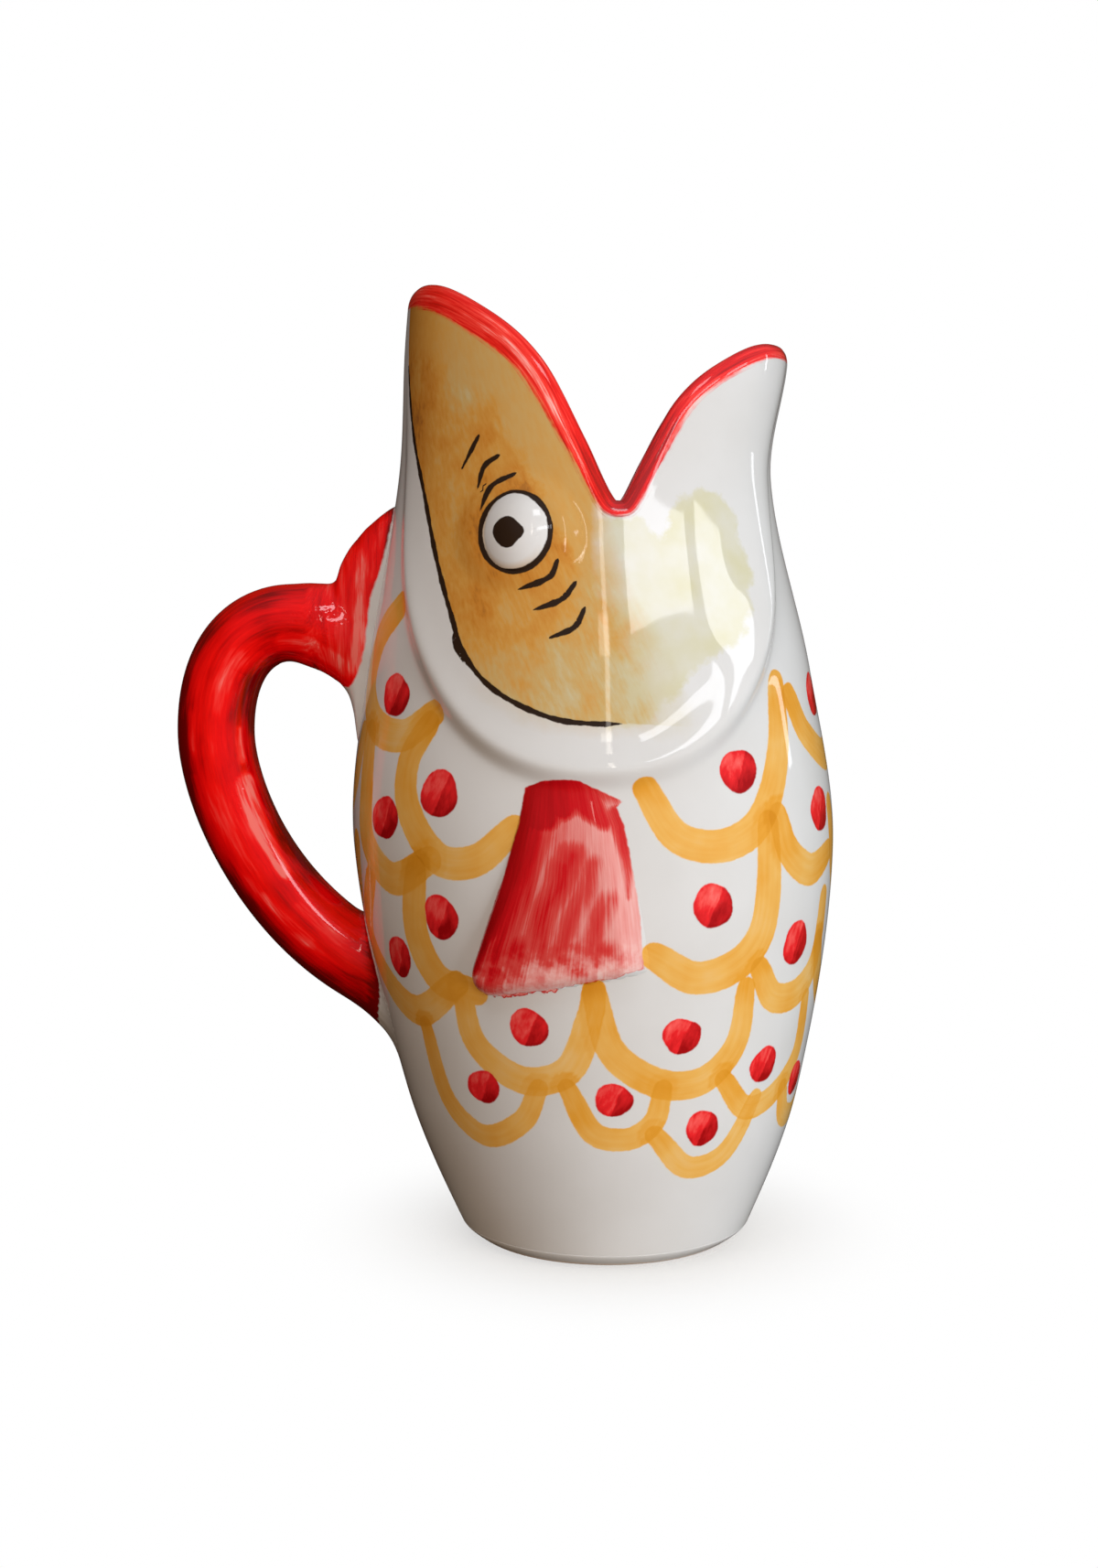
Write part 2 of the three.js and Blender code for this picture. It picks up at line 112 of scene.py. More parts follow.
COLUMNS = 440
ROWS_OUTSIDE = 270
ROWS_INSIDE = 90
LIP_STEPS, CORNER_STEPS, FLOOR_STEPS = 20, 10, 14


def mix(a, b, t):
    return a + (b - a) * t


def smooth(x):
    x = np.clip(x, 0, 1)
    return x * x * (3 - 2 * x)


def through(stations, at):
    """A cubic through (place, value) stations, which has at each the slope between its neighbours."""
    place, value = np.asarray(stations, float).T
    k = np.arange(len(place))
    before, after = np.maximum(k - 1, 0), np.minimum(k + 1, len(k) - 1)
    slope = (value[after] - value[before]) / (place[after] - place[before])
    i = np.clip(np.searchsorted(place, at, side="right") - 1, 0, len(k) - 2)
    span = place[i + 1] - place[i]
    t = (at - place[i]) / span
    ends = (1 + 2 * t) * (1 - t) ** 2 * value[i] + t * t * (3 - 2 * t) * value[i + 1]
    return ends + span * (t * (1 - t) ** 2 * slope[i] + t * t * (t - 1) * slope[i + 1])


def reach(way, z):
    return through(SECTIONS[:, (0, way)], z)


def unit(v):
    return v / np.maximum(np.linalg.norm(v, axis=-1, keepdims=True), 1e-9)


def lengths(way):
    """Lengths between neighbouring points of a way."""
    return np.linalg.norm(np.diff(way, axis=0), axis=1)


def length_along(way):
    """How far along a way each of its points lies."""
    return np.concatenate([[0], np.cumsum(lengths(way))])


def full_turn(count):
    return np.arange(count) / count * 2 * np.pi


def read_off(stations, at):
    """Straight from each (place, value) station to the next."""
    return np.interp(at, *np.array(stations, float).T)


def relief(bearing, z):
    """How far the head stands out of the belly's skin, at the gill edge and round the eye."""
    degrees = np.abs(bearing)
    along = np.abs(degrees - GILL_BEARING) / GILL_SPAN
    edge = GILL_BOTTOM + GILL_RISE * along ** GILL_BOW
    half_span = math.radians(GILL_SPAN) * reach(SIDE, z)
    inside = (z - edge) / np.hypot(1, GILL_RISE * GILL_BOW * along ** (GILL_BOW - 1) / half_span)
    cheek = smooth((CHEEK_BEARING - degrees) / CHEEK_BLEND)
    half = np.where(inside > GILL_ROLL_PLACE, GILL_ROLL_HALF * (1 + cheek), GILL_ROLL_HALF)
    roll = GILL_ROLL * (1 + 0.8 * cheek) * np.exp(-((inside - GILL_ROLL_PLACE) / half) ** 2)
    gill = (GILL_STEP * smooth(inside / GILL_BLEND + 0.3) + roll) * (1 - smooth((along - 0.75) / 0.5))
    from_eye = np.hypot((degrees - EYE_PLACE[0]) * EYE_ARC, z - EYE_PLACE[1])
    return gill + EYE_MOUND * smooth((EYE_MOUND_RADIUS - from_eye) / EYE_MOUND_BLEND)


def skin(bearing, z, out=0.0, with_relief=True):
    """Points of the outer skin, moved out by a distance."""
    bearing, z = np.broadcast_arrays(np.asarray(bearing, float), np.asarray(z, float))
    turn = np.radians(bearing)
    back, front, side = reach(BACK, z), reach(FRONT, z), reach(SIDE, z)
    long = (back + front) / 2
    way = unit(np.stack([np.cos(turn) / long, np.sin(turn) / side], -1))
    far = out + (relief(bearing, z) if with_relief else 0)
    x = (front - back) / 2 + long * np.cos(turn) + far * way[..., 0]
    return np.stack([x, side * np.sin(turn) + far * way[..., 1], z], -1)


def skin_normal(bearing, z):
    across = skin(bearing + 0.5, z) - skin(bearing - 0.5, z)
    return unit(np.cross(across, skin(bearing, z + 0.5) - skin(bearing, z - 0.5)))


def back_skin(y, z):
    """Where the back's skin lies, seen from behind."""
    back, front = reach(BACK, z), reach(FRONT, z)
    long = (back + front) / 2
    return (front - back) / 2 - long * np.sqrt(np.clip(1 - (y / reach(SIDE, z)) ** 2, 0, 1))


def mouth_line(x):
    """Height of the mouth's edge in the side view, where the rounded lip begins."""
    snout = x < NOTCH_FRONT
    crest = np.where(snout, -SNOUT_CREST_BACK, JAW_CREST_FRONT)
    top = np.where(snout, JUG_HEIGHT, JAW_HEIGHT) - LIP_RISE
    tip = np.where(snout, SNOUT_TIP_RADIUS, JAW_TIP_RADIUS)
    away, span = np.abs(x - NOTCH_FRONT), np.abs(crest - NOTCH_FRONT)
    climb = mix(LIP_LOW, top, through(MOUTH_EDGE, np.clip(away / span, 0, 1)))
    return np.where(away > span, top - (away - span) ** 2 / (2 * tip), climb)


def mouth_edge(bearing):
    """Points of the skin on the mouth's edge, found by halving."""
    low, high = np.full_like(bearing, LIP_LOW - WALL), np.full_like(bearing, JUG_HEIGHT)
    for _ in range(30):
        middle = (low + high) / 2
        below = middle < mouth_line(skin(bearing, middle)[..., 0])
        low, high = np.where(below, middle, low), np.where(below, high, middle)
    return skin(bearing, (low + high) / 2)


# Meshes

def strips(rings, sides, joined=False):
    """Quads between neighbouring rings of points. Joined rings run on from the last to the first."""
    r = np.arange(rings if joined else rings - 1)[:, None]
    s = np.arange(sides)[None]
    low, high, after = r * sides, (r + 1) % rings * sides, (s + 1) % sides
    corners = np.broadcast_arrays(low + s, low + after, high + after, high + s)
    return np.stack(corners, -1).reshape(-1, 4).tolist()


def capped(rings):
    """Points and faces of a closed body through rings, with a middle point at each end."""
    count, sides = rings.shape[:2]
    points = np.concatenate([rings.reshape(-1, 3), rings[:1].mean(1), rings[-1:].mean(1)])
    last, s = (count - 1) * sides, np.arange(sides)
    after = (s + 1) % sides
    low, high = np.full(sides, count * sides), np.full(sides, count * sides + 1)
    fans = np.concatenate([np.stack([after, s, low], -1), np.stack([last + s, last + after, high], -1)])
    return points, strips(count, sides) + fans.tolist()


def ring_normals(rings):
    across = np.roll(rings, -1, 1) - np.roll(rings, 1, 1)
    return unit(np.cross(across, np.gradient(rings, axis=0)))


def make_piece(name, node, slot, material, points, faces, normals=None, **paint):
    """One piece of the jug in a CAD node's place. paint holds one value or vector per point, in mm."""
    mesh = bpy.data.meshes.new(name)
    mesh.from_pydata((points * MM).tolist(), [], faces)
    mesh.polygons.foreach_set("use_smooth", [True] * len(mesh.polygons))
    for label, values in paint.items():
        kind, field = ("FLOAT", "value") if values.ndim == 1 else ("FLOAT_VECTOR", "vector")
        layer = mesh.attributes.new(label, kind, "POINT")
        layer.data.foreach_set(field, values.astype(np.float32).ravel())
    if normals is not None:
        mesh.normals_split_custom_set_from_vertices(normals.tolist())
    mesh.materials.append(material)
    mesh.update()
    piece = bpy.data.objects.new(name, mesh)
    bpy.context.scene.collection.objects.link(piece)
    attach(piece, "root")
    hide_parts(node)


# The painter's layout, read off the right side. Each is (bearing, height) along the brush's way.

# Scales: the layer that keeps neighbours apart, the stroke, and its red dot
SCALES = [
    (0, [(77.5, 141), (70.5, 127.5), (59.5, 124.5), (49, 130), (39.5, 149), (36, 168)], (53.5, 144.5)),
    (2, [(42.5, 131.5), (39, 121), (29.5, 114.5), (16.5, 118)], (22.5, 131)),
    (1, [(76.5, 95), (66, 88), (53.5, 91.5), (47, 101.5), (46, 129.5)], (62, 108)),
    (0, [(47.5, 88.5), (41.5, 79.5), (30.5, 79), (21, 86.5), (18.5, 105)], (34, 94)),
    (2, [(90.5, 85), (86.5, 67.5), (74.5, 58), (62, 58), (53, 67.5), (51.5, 83.5)], (69, 71.5)),
    (1, [(56, 57.5), (46.5, 47.5), (34, 49.5), (23.5, 59.5), (24, 76)], (41.5, 59.5)),
    (2, [(29, 50), (24.5, 41.5), (15, 39.5), (7, 45), (3.5, 56)], (19.5, 51)),
    (0, [(75.5, 43), (64.5, 32), (52, 34.5), (43, 50)], (61, 43.5)),
    (1, [(98.5, 57), (92, 43.5), (82, 42), (75.5, 47), (73.5, 56.5)], (86.5, 53.5)),
    (1, [(139.5, 70.5), (137, 49), (125.5, 40), (112, 46), (106, 56.5)], (122.5, 55)),
    (0, [(124, 83.5), (122.5, 68), (110.5, 58.5), (98, 62), (91.5, 78.5), (90.5, 86)], (107, 74)),
    (0, [(148, 189.5), (160, 179), (163.5, 165.5), (155, 155.5), (140.5, 153), (129.5, 160)], (145.5, 164)),
    (1, [(131, 157), (137, 146.5), (136.5, 134), (126.5, 120), (116.5, 120.5), (107, 130)], (126.5, 138)),
    (2, [(157.5, 152.5), (156.5, 137), (155, 121.5), (143, 112.5), (129, 119.5)], (145.5, 129.5)),
    (0, [(134, 116.5), (136.5, 98), (131, 85.5), (120, 83)], (127.5, 103.5)),
    (2, [(155.5, 110.5), (164, 93), (153, 79), (140.5, 74.5), (125, 85)], (145.5, 89.5)),
]
# Scales on the belly's and the back's middle lines, as bearings on the right side, which run on past 0 or 180
MIDDLE_SCALES = [
    (1, [(30.5, 164), (25, 153), (11, 145.5), (-1, 150), (-7, 163)], (12, 163)),
    (2, [(-7, 160), (-11, 149), (-20, 143.5), (-29, 149), (-35, 165)], (-21, 160)),
    (0, [(13, 131), (9, 114), (0, 106.5), (-9, 114), (-13, 131)], (0, 122.5)),
    (1, [(20, 92), (13, 79), (0, 73), (-13, 79), (-20, 92)], (0, 87)),
    (1, [(196, 152), (191, 136), (180, 129), (169, 136), (164, 152)], (180, 144)),
    (0, [(195, 120), (190, 105), (180, 99), (170, 105), (165, 120)], (180, 112)),
    (0, [(191, 44), (187, 34), (180, 30), (173, 34), (169, 44)], (180, 40)),
]
STROKE_HALF_END, STROKE_HALF_MIDDLE = 3.6, 4.8
STROKE_SIZE_LOW, STROKE_SIZE_HIGH = 0.78, 1.05  # up to 45 mm high and from 90 mm up
DOT_RADIUS_LOW, DOT_RADIUS_HIGH = 5.3, 6.4  # up to 40 mm high and from 125 mm up

# Ink: half width and way. The first is the gill line, the others the wrinkles over and under the eye.
GILL_LINE = [(162, 257), (153, 239), (141, 220.5), (132.5, 203), (125.5, 188), (120.5, 177), (114, 169),
             (106, 163.5), (96.5, 159.5), (88.5, 158.5), (82.5, 158.5)]
INK = [
    (0.72, GILL_LINE),
    (0.6, [(124, 182), (123, 178.5), (120, 174)]),
    (0.75, [(121.5, 236.5), (124, 232), (126.5, 227.5)]),
    (0.85, [(114.5, 231), (119, 228), (120.5, 222)]),
    (0.85, [(109, 226), (116, 222.5), (118.5, 216)]),
    (0.85, [(96.5, 202.5), (98.5, 198), (106.5, 194.5)]),
    (0.85, [(92, 196.5), (95.5, 192), (102.5, 189)]),
    (0.85, [(90, 189.5), (92.5, 184.5), (98.5, 181.5)]),
]
EYE_RING_HALF = 0.66
PUPIL_RADIUS, PUPIL_BACK = 4.2, 0.6

# The head's tan wash, bounded by the gill line and a soft edge below the notch, and the cheek's cream wash
FACE_ARC = 0.9  # millimetres of skin in a degree of bearing
TAN_FAR_CORNERS = [(50, 156), (50, 300), (176, 300)]
CHEEK_EDGE = [(150, 70), (165, 71), (178, 75), (192, 80), (205, 83), (225, 85)]  # height, bearing
CHEEK_FADE = [(165, 1.0), (185, 0.8), (205, 0.5), (222, 0.15)]  # height, how slowly the tan fades
CREAM_OUTLINE = [(86, 214), (74.5, 214), (70, 208), (63.5, 219), (56, 223), (48, 220.5), (45, 216.5),
                 (43, 208), (41, 195), (47.5, 182.5), (59, 175.5), (69.5, 166), (78.5, 157.5), (86.5, 156.5)]

# The red wash on a pectoral fin
FIN_ARC = 1.06  # millimetres of skin in a degree of bearing
FIN_WASH_TOP, FIN_WASH_BOTTOM = 143.0, 84.0
FIN_WASH = [(104.5, 141), (100.5, 143), (97, 143.5), (92.5, 143.5), (88.5, 141), (82.5, 137.5), (84, 136),
            (82.5, 131), (81.5, 124), (79.5, 106.5), (79, 91.5), (83.5, 90.5), (88, 88.5), (94, 87.5),
            (101, 84.5), (107.5, 84), (112.5, 82), (117, 83), (119.5, 86.5), (119, 91), (115.5, 101),
            (110, 116), (106, 131)]

# Passes of the brush over a fin's wash: half width at the start and the end, dense or light, and the way
DENSE, LIGHT = 0, 1
FIN_STROKES = [
    (4.9, 4.5, DENSE, [(101, 138.5), (101, 133.5)]),
    (5.2, 3.8, DENSE, [(96, 139.5), (96, 136.5)]),
    (4.8, 2.0, DENSE, [(92, 140), (89.5, 135.5), (87, 132)]),
    (2.6, 0.8, LIGHT, [(88, 139.5), (83.5, 138)]),
    (1.9, 0.3, DENSE, [(84.5, 134.5), (83, 126), (82, 118.5), (82, 111.5)]),
    (2.8, 2.2, DENSE, [(104.5, 136.5), (105, 131.5), (106.5, 122.5), (109.5, 112.5), (114, 102),
                       (117.5, 91)]),
    (5.0, 4.0, LIGHT, [(104, 131.5), (105.5, 122.5), (108.5, 112.5), (113, 102)]),
    (2.6, 2.0, LIGHT, [(102, 128), (104, 121), (106.5, 111), (109.5, 102.5), (112, 96)]),
    (2.6, 1.3, LIGHT, [(94, 123), (97, 114.5), (100, 108), (102, 95.5)]),
    (3.0, 2.0, LIGHT, [(95.5, 119.5), (97, 114.5), (99, 110)]),
    (1.3, 1.5, LIGHT, [(90, 121), (91.5, 114.5), (94.5, 106), (96.5, 98.5)]),
    (1.1, 1.9, LIGHT, [(86.5, 111.5), (89, 104.5), (91, 97)]),
    (2.6, 3.0, LIGHT, [(112, 95.5), (114, 87)]),
    (2.0, 2.6, LIGHT, [(107, 98), (109, 90)]),
    (1.6, 1.2, LIGHT, [(97.5, 95), (94, 92), (90.5, 89.5)]),
    (1.2, 0.8, LIGHT, [(99.5, 93.5), (98, 97.5), (95.5, 99), (91.5, 96.5), (89, 94)]),
    (2.2, 1.4, LIGHT, [(88.5, 98), (85, 95.5)]),
]

# How far below the lip's start the red of the rim ends, by bearing
RIM_RED = [(0, -0.8), (25, -0.8), (50, -0.4), (75, 0.1), (88, 0.8), (105, 2.2), (125, 3.5), (150, 2.4),
           (180, 0.2)]
RIM_RED_INSIDE = 2.0  # how far it reaches down the inside

OFF_BRUSH = (-20.0, 0.0, 0.0)  # paint values far outside every brush stroke
OFF_PEN = (9.0, -9.0, 0.0)  # the same for ink, as offset from a line and its half width
STROKE_APART = 61.0  # keeps the hairs of one stroke from running on in the next


def brush_way(points, step=1.0):
    """Close points along a smooth way through a stroke's points."""
    points = np.asarray(points, float)
    at = length_along(points)
    fine = np.linspace(0, at[-1], max(int(at[-1] / step), 4))
    return np.stack([through(np.stack([at, points[:, k]], -1), fine) for k in (0, 1)], -1)


def beside(points, way, normals):
    """For each point, from the nearest place of a way: distance, signed offset and length along."""
    step = np.diff(way, axis=0)
    length = lengths(way)
    gap = points[:, None] - way[None, :-1]
    held = np.clip((gap * step).sum(-1) / length ** 2, 0, 1)
    near = np.linalg.norm(gap - held[..., None] * step, axis=-1)
    row, k = np.arange(len(points)), near.argmin(1)
    aside = np.cross(step[k] / length[k, None], normals[k])
    offset = ((gap[row, k] - held[row, k, None] * step[k]) * aside).sum(-1)
    return near[row, k], offset, length_along(way)[k] + held[row, k] * length[k]


def inside_outline(outline, arc, bearing, z):
    """Signed distance into an outline given by bearings and heights, on the skin rolled out flat."""
    corners = np.asarray(outline, float) * (arc, 1)
    points = np.stack([bearing * arc, z], -1)
    near, winding = np.full(len(points), 1e9), np.zeros(len(points), int)
    for a, b in zip(corners, np.roll(corners, -1, 0)):
        step, gap = b - a, points - a
        share = np.clip(gap @ step / (step @ step), 0, 1)
        near = np.minimum(near, np.linalg.norm(gap - share[:, None] * step, axis=1))
        turn = step[0] * gap[:, 1] - step[1] * gap[:, 0]
        rising = (a[1] <= points[:, 1]) & (b[1] > points[:, 1]) & (turn > 0)
        falling = (b[1] <= points[:, 1]) & (a[1] > points[:, 1]) & (turn < 0)
        winding += rising.astype(int) - falling.astype(int)
    return np.where(winding != 0, near, -near)


def all_scales():
    """Every scale as side, layer, stroke and dot. The far side repeats the near one, a little out of true."""
    for layer, stroke, dot in SCALES:
        yield RIGHT, layer, np.array(stroke, float), np.array(dot, float)
        shift = rng.normal(0, 1.1, 2)
        wobble = rng.normal(0, 0.5, (len(stroke), 2))
        yield LEFT, layer, np.array(stroke) + shift + wobble, np.array(dot) + shift + rng.normal(0, 0.8, 2)
    for layer, stroke, dot in MIDDLE_SCALES:
        yield RIGHT, layer, np.array(stroke, float), np.array(dot, float)


def near_stroke(base, side, stroke, step, margin):
    """Points near a stroke on the skin, their distance, offset and length along it, and its whole length."""
    way = brush_way(stroke, step)
    line = skin(side * way[:, 0], way[:, 1])
    near = ((base > line.min(0) - margin) & (base < line.max(0) + margin)).all(1).nonzero()[0]
    return near, *beside(base[near], line, skin_normal(side * way[:, 0], way[:, 1])), lengths(line).sum()


def paint_scales(base):
    """The yellow strokes in three layers, as distance inside, length along and offset, and their load."""
    scales = np.tile(OFF_BRUSH, (3, len(base), 1))
    load = np.zeros(len(base))
    for number, (side, layer, stroke, _) in enumerate(scales_of_jug, 1):
        stroke_size, wet = stroke_habits[number][:2]
        near, distance, offset, along, total = near_stroke(base, side, stroke, 1.0, 8)
        lifted = smooth((stroke[:, 1].mean() - 45) / 45)
        width = mix(1, stroke_size, 0.5) * mix(STROKE_SIZE_LOW, STROKE_SIZE_HIGH, lifted)
        swell = np.sin(np.pi * np.clip(along / total, 0, 1)) ** 0.7
        edge = width * mix(STROKE_HALF_END, STROKE_HALF_MIDDLE, swell) - distance
        better = edge > scales[layer, near, 0]
        rows = near[better]
        scales[layer, rows] = np.stack([edge, along + STROKE_APART * number, offset], -1)[better]
        # The brush leaves more paint where it is set down and where it is lifted
        fresh = 0.34 * np.exp(-along / 7) + 0.14 * np.exp(-(total - along) / 5) + wet
        load[rows] = np.maximum(load[rows], (fresh * (edge > -2))[better])
    return scales, load


def paint_dots(base):
    """The red dots: distance inside, and place to the right and up from the middle."""
    dots = np.tile(OFF_BRUSH, (len(base), 1))
    for number, (side, _, _, dot) in enumerate(scales_of_jug, 1):
        dot_size, waves = stroke_habits[number][2:]
        gap = base - skin(side * dot[0], dot[1])
        near = (np.linalg.norm(gap, axis=1) < 12).nonzero()[0]
        u, v = (gap[near] @ way for way in tangent(side * dot[0], dot[1]))
        angle = np.arctan2(v, u)
        radius = mix(DOT_RADIUS_LOW, DOT_RADIUS_HIGH, smooth((dot[1] - 40) / 85)) * mix(1, dot_size, 0.5)
        for wave, swing, phase in waves:
            radius = radius * (1 + 2.2 * swing / wave * np.sin(wave * angle + phase))
        edge = radius - np.hypot(u, v)
        better = edge > dots[near, 0]
        dots[near[better]] = np.stack([edge, u, v], -1)[better]
    return dots


def paint_ink(base):
    """The ink lines: offset from the nearest, half its width there, and length along it."""
    ink = np.tile(OFF_PEN, (len(base), 1))
    for side in (RIGHT, LEFT):
        for half, stroke in INK:
            near, distance, offset, along, total = near_stroke(base, side, stroke, 0.8, 5)
            past = np.sqrt(np.maximum(distance ** 2 - offset ** 2, 0))
            taper = mix(0.6, 1.1, smooth(along / 4)) * mix(0.4, 1, smooth((total - along) / 6))
            uneven = 1 + 0.14 * np.sin(along * 0.55 + 2 * half) + 0.08 * np.sin(along * 1.7)
            limit = half * taper * uneven - past
            better = (distance < 1.9) & (limit - np.abs(offset) > ink[near, 1] - np.abs(ink[near, 0]))
            ink[near[better]] = np.stack([offset, limit, along], -1)[better]
    return ink


def paint_layers(bearing, z):
    """The painting at places on the skin, as values in millimetres for the materials to draw from."""
    base, flat = skin(bearing, z), np.abs(bearing)
    scales, load = paint_scales(base)
    u, v, outside = eye_place(base, np.where(bearing < 0, RIGHT, LEFT))
    angle = np.arctan2(v, u)
    uneven = 1 + 0.05 * np.cos(4 * angle) + 0.04 * np.sin(3 * angle + 1)
    pupil = PUPIL_RADIUS * uneven - np.hypot(u + PUPIL_BACK, v)
    tan_outline = [*brush_way(GILL_LINE, 3.0), *TAN_FAR_CORNERS]
    tan, cream = (inside_outline(outline, FACE_ARC, flat, z) for outline in (tan_outline, CREAM_OUTLINE))
    cheek = (flat - read_off(CHEEK_EDGE, z)) * FACE_ARC / read_off(CHEEK_FADE, z)
    fin = inside_outline(FIN_WASH, FIN_ARC, flat, z)
    return dict(
        scale_a=scales[0],
        scale_b=scales[1],
        scale_c=scales[2],
        load=load,
        dot=paint_dots(base),
        ink=paint_ink(base),
        face=np.stack([tan, cream, cheek], -1),
        eye=np.stack([pupil, -outside, u + v], -1),
        fin=np.stack([fin, *fin_shares(flat, z)], -1),
        fin_pass=fin_passes(flat, z),
    )


def inside_pass(places, stroke, half_start, half_end):
    """How far inside one pass of the brush flat places lie, in mm."""
    way = np.insert(brush_way(stroke), 2, 0, 1)
    distance, _, along = beside(places, way, np.tile([0.0, 0, 1], (len(way), 1)))
    return mix(half_start, half_end, along / lengths(way).sum()) - distance


def fin_passes(bearing, z):
    """How far inside the dense and the light passes of the brush on a fin a place lies."""
    inside = np.tile((OFF_BRUSH[0], OFF_BRUSH[0], 0.0), (len(z), 1))
    about_fin = (bearing > 70) & (bearing < 130) & (z > 75) & (z < 150)
    near = about_fin.nonzero()[0]
    places = np.stack([bearing[near] * FIN_ARC, z[near], 0 * near], -1)
    for half_start, half_end, kind, stroke in FIN_STROKES:
        stroke = np.array(stroke) * (FIN_ARC, 1)
        inside[near, kind] = np.maximum(inside[near, kind], inside_pass(places, stroke, half_start, half_end))
    return inside


def tangent(bearing, z):
    """Ways to the right and up over the skin."""
    out = skin_normal(bearing, z)
    right = unit(np.cross([0, 0, 1], out))
    return right, np.cross(out, right)


def eye_place(points, side):
    """Places about the eye of a side: to the right, up, and distance out from the ink ring's line."""
    right, up = tangent(side * EYE_PLACE[0], EYE_PLACE[1])
    gap = points - skin(side * EYE_PLACE[0], EYE_PLACE[1])
    u, v = (gap * right).sum(-1), (gap * up).sum(-1)
    flat = np.hypot(u, v) + 1e-9
    ring = 1 / np.hypot(u / flat / EYE_HALF_WIDTH, v / flat / EYE_HALF_HEIGHT)
    return u, v, np.linalg.norm(gap, axis=-1) - ring


def fin_shares(bearing, z):
    """Share of the way across a fin, from its rear edge at -1 to its front edge at 1, and down it."""
    down = np.clip((FIN_WASH_TOP - z) / (FIN_WASH_TOP - FIN_WASH_BOTTOM), -0.2, 1.2)
    rear, front = read_off(FIN_REAR, z), read_off(FIN_FRONT, z)
    return np.clip((rear - bearing) / (rear - front) * 2 - 1, -2, 2), down


scales_of_jug = list(all_scales())
# The hand at each scale: the stroke's size, how wet it is, the dot's size and the waves of its outline
stroke_habits = [
    (rng.uniform(0.88, 1.1), rng.uniform(0, 0.16), rng.uniform(0.92, 1.06),
     [(k, rng.uniform(0.02, 0.06), rng.uniform(0, 6.28)) for k in (2, 3, 5)])
    for _ in range(len(scales_of_jug) + 1)
]

# Finishes

WHITES = [(0, "#cdcbc6"), (1, "#d9d8d5")]
TANS = [(0, "#c2b68f"), (0.25, "#c4a262"), (0.5, "#ca9038"), (0.72, "#c27a16"), (1, "#763e00")]
YELLOWS = [(0, "#e4c68c"), (0.3, "#e2ad58"), (0.5, "#dd9a34"), (0.7, "#d28a20"), (1, "#b86c0c")]
DOT_REDS = [(0, "#f79c92"), (0.3, "#f05c56"), (0.55, "#e42428"), (1, "#9c080e")]
FIN_REDS = [(0, "#e8beb6"), (0.2, "#e0968e"), (0.44, "#cf4640"), (0.7, "#c40c16"), (1, "#920309")]
RIM_REDS = [(0, "#ffc8c0"), (0.2, "#ff8c82"), (0.36, "#fc4138"), (0.65, "#e80c12"), (1, "#a8040c")]
TAIL_REDS = [(0, "#ff7a70"), (0.2, "#ff3a34"), (0.42, "#fb0a0a"), (0.7, "#dc0004"), (1, "#7c0002")]
CREAM, INK_BLACK, EYE_WHITE, EYE_TINT = "#cac5a2", "#2a1c13", "#d8d6d2", "#b8935a"
CLAY = [(0, "#cdb9a4"), (1, "#e0d0bd")]
ROOM = [(0, "#1e1107"), (0.5, "#54422c"), (1, "#787f84")]
PAPERS = [(0, "#d6c9b6"), (1, "#dfd3c2")]
HEAD_BRUSH_LEAN = -0.42  # turn of the brush from upright over the head, in radians
LOWER_LOBE = 206.0  # where the tail's lower lobe lies along the brush's way


def linear(code):
    """An sRGB hex colour as Blender's linear colour."""
    parts = [int(code[i:i + 2], 16) / 255 for i in (1, 3, 5)]
    return (*[c / 12.92 if c <= 0.04045 else ((c + 0.055) / 1.055) ** 2.4 for c in parts], 1)


def per(mm):
    """A noise's scale over the object's metres, for features of a size in millimetres."""
    return 1 / (mm * MM)


def add(tree, kind, *inputs, out=0, stops=(), **settings):
    """Adds a node. inputs are values or sockets in order, or a dict of them; stops are a ramp's colours."""
    node = tree.nodes.new("ShaderNode" + kind)
    for label, value in settings.items():
        setattr(node, label, value)
    for place, code in stops:
        found = node.color_ramp.elements
        stop = found[0] if place == 0 else found[-1] if place == 1 else found.new(place)
        stop.color = linear(code)
    given = inputs[0] if inputs and isinstance(inputs[0], dict) else dict(enumerate(inputs))
    for socket, value in given.items():
        if isinstance(value, bpy.types.NodeSocket):
            tree.links.new(value, node.inputs[socket])
        else:
            node.inputs[socket].default_value = value
    return node if out is None else node.outputs[out]


def new_finish(name, **surface):
    """A material with one shader. Values that are the same all over are set on the shader itself."""
    material = bpy.data.materials.new(name)
    material.use_nodes = True
    tree = material.node_tree
    shader = tree.nodes["Principled BSDF"]
    for socket, value in surface.items():
        shader.inputs[socket].default_value = value
    return material, tree, shader, partial(add, tree)


def fields(n, *labels):
    """The three values of each painted layer."""
    layers = [n("Attribute", out=1, attribute_name=label) for label in labels]
    return [n("SeparateXYZ", layer, out=None).outputs for layer in layers]


def frayed(n, distance, noise, depth):
    """A distance into the paint, torn by a noise over a depth in mm."""
    return n("Math", noise, depth, n("Math", distance, -depth / 2, operation="ADD"), operation="MULTIPLY_ADD")


def brush_hairs(n, one, other, detail, roughness=0.5):
    """Streaks left by a brush's hairs over two distances, each given with how many lie in one unit of it."""
    way = n("CombineXYZ", *(n("Math", *part, operation="MULTIPLY") for part in (one, other)))
    return n("TexNoise", {"Vector": way, "Scale": 1.0, "Detail": detail, "Roughness": roughness})


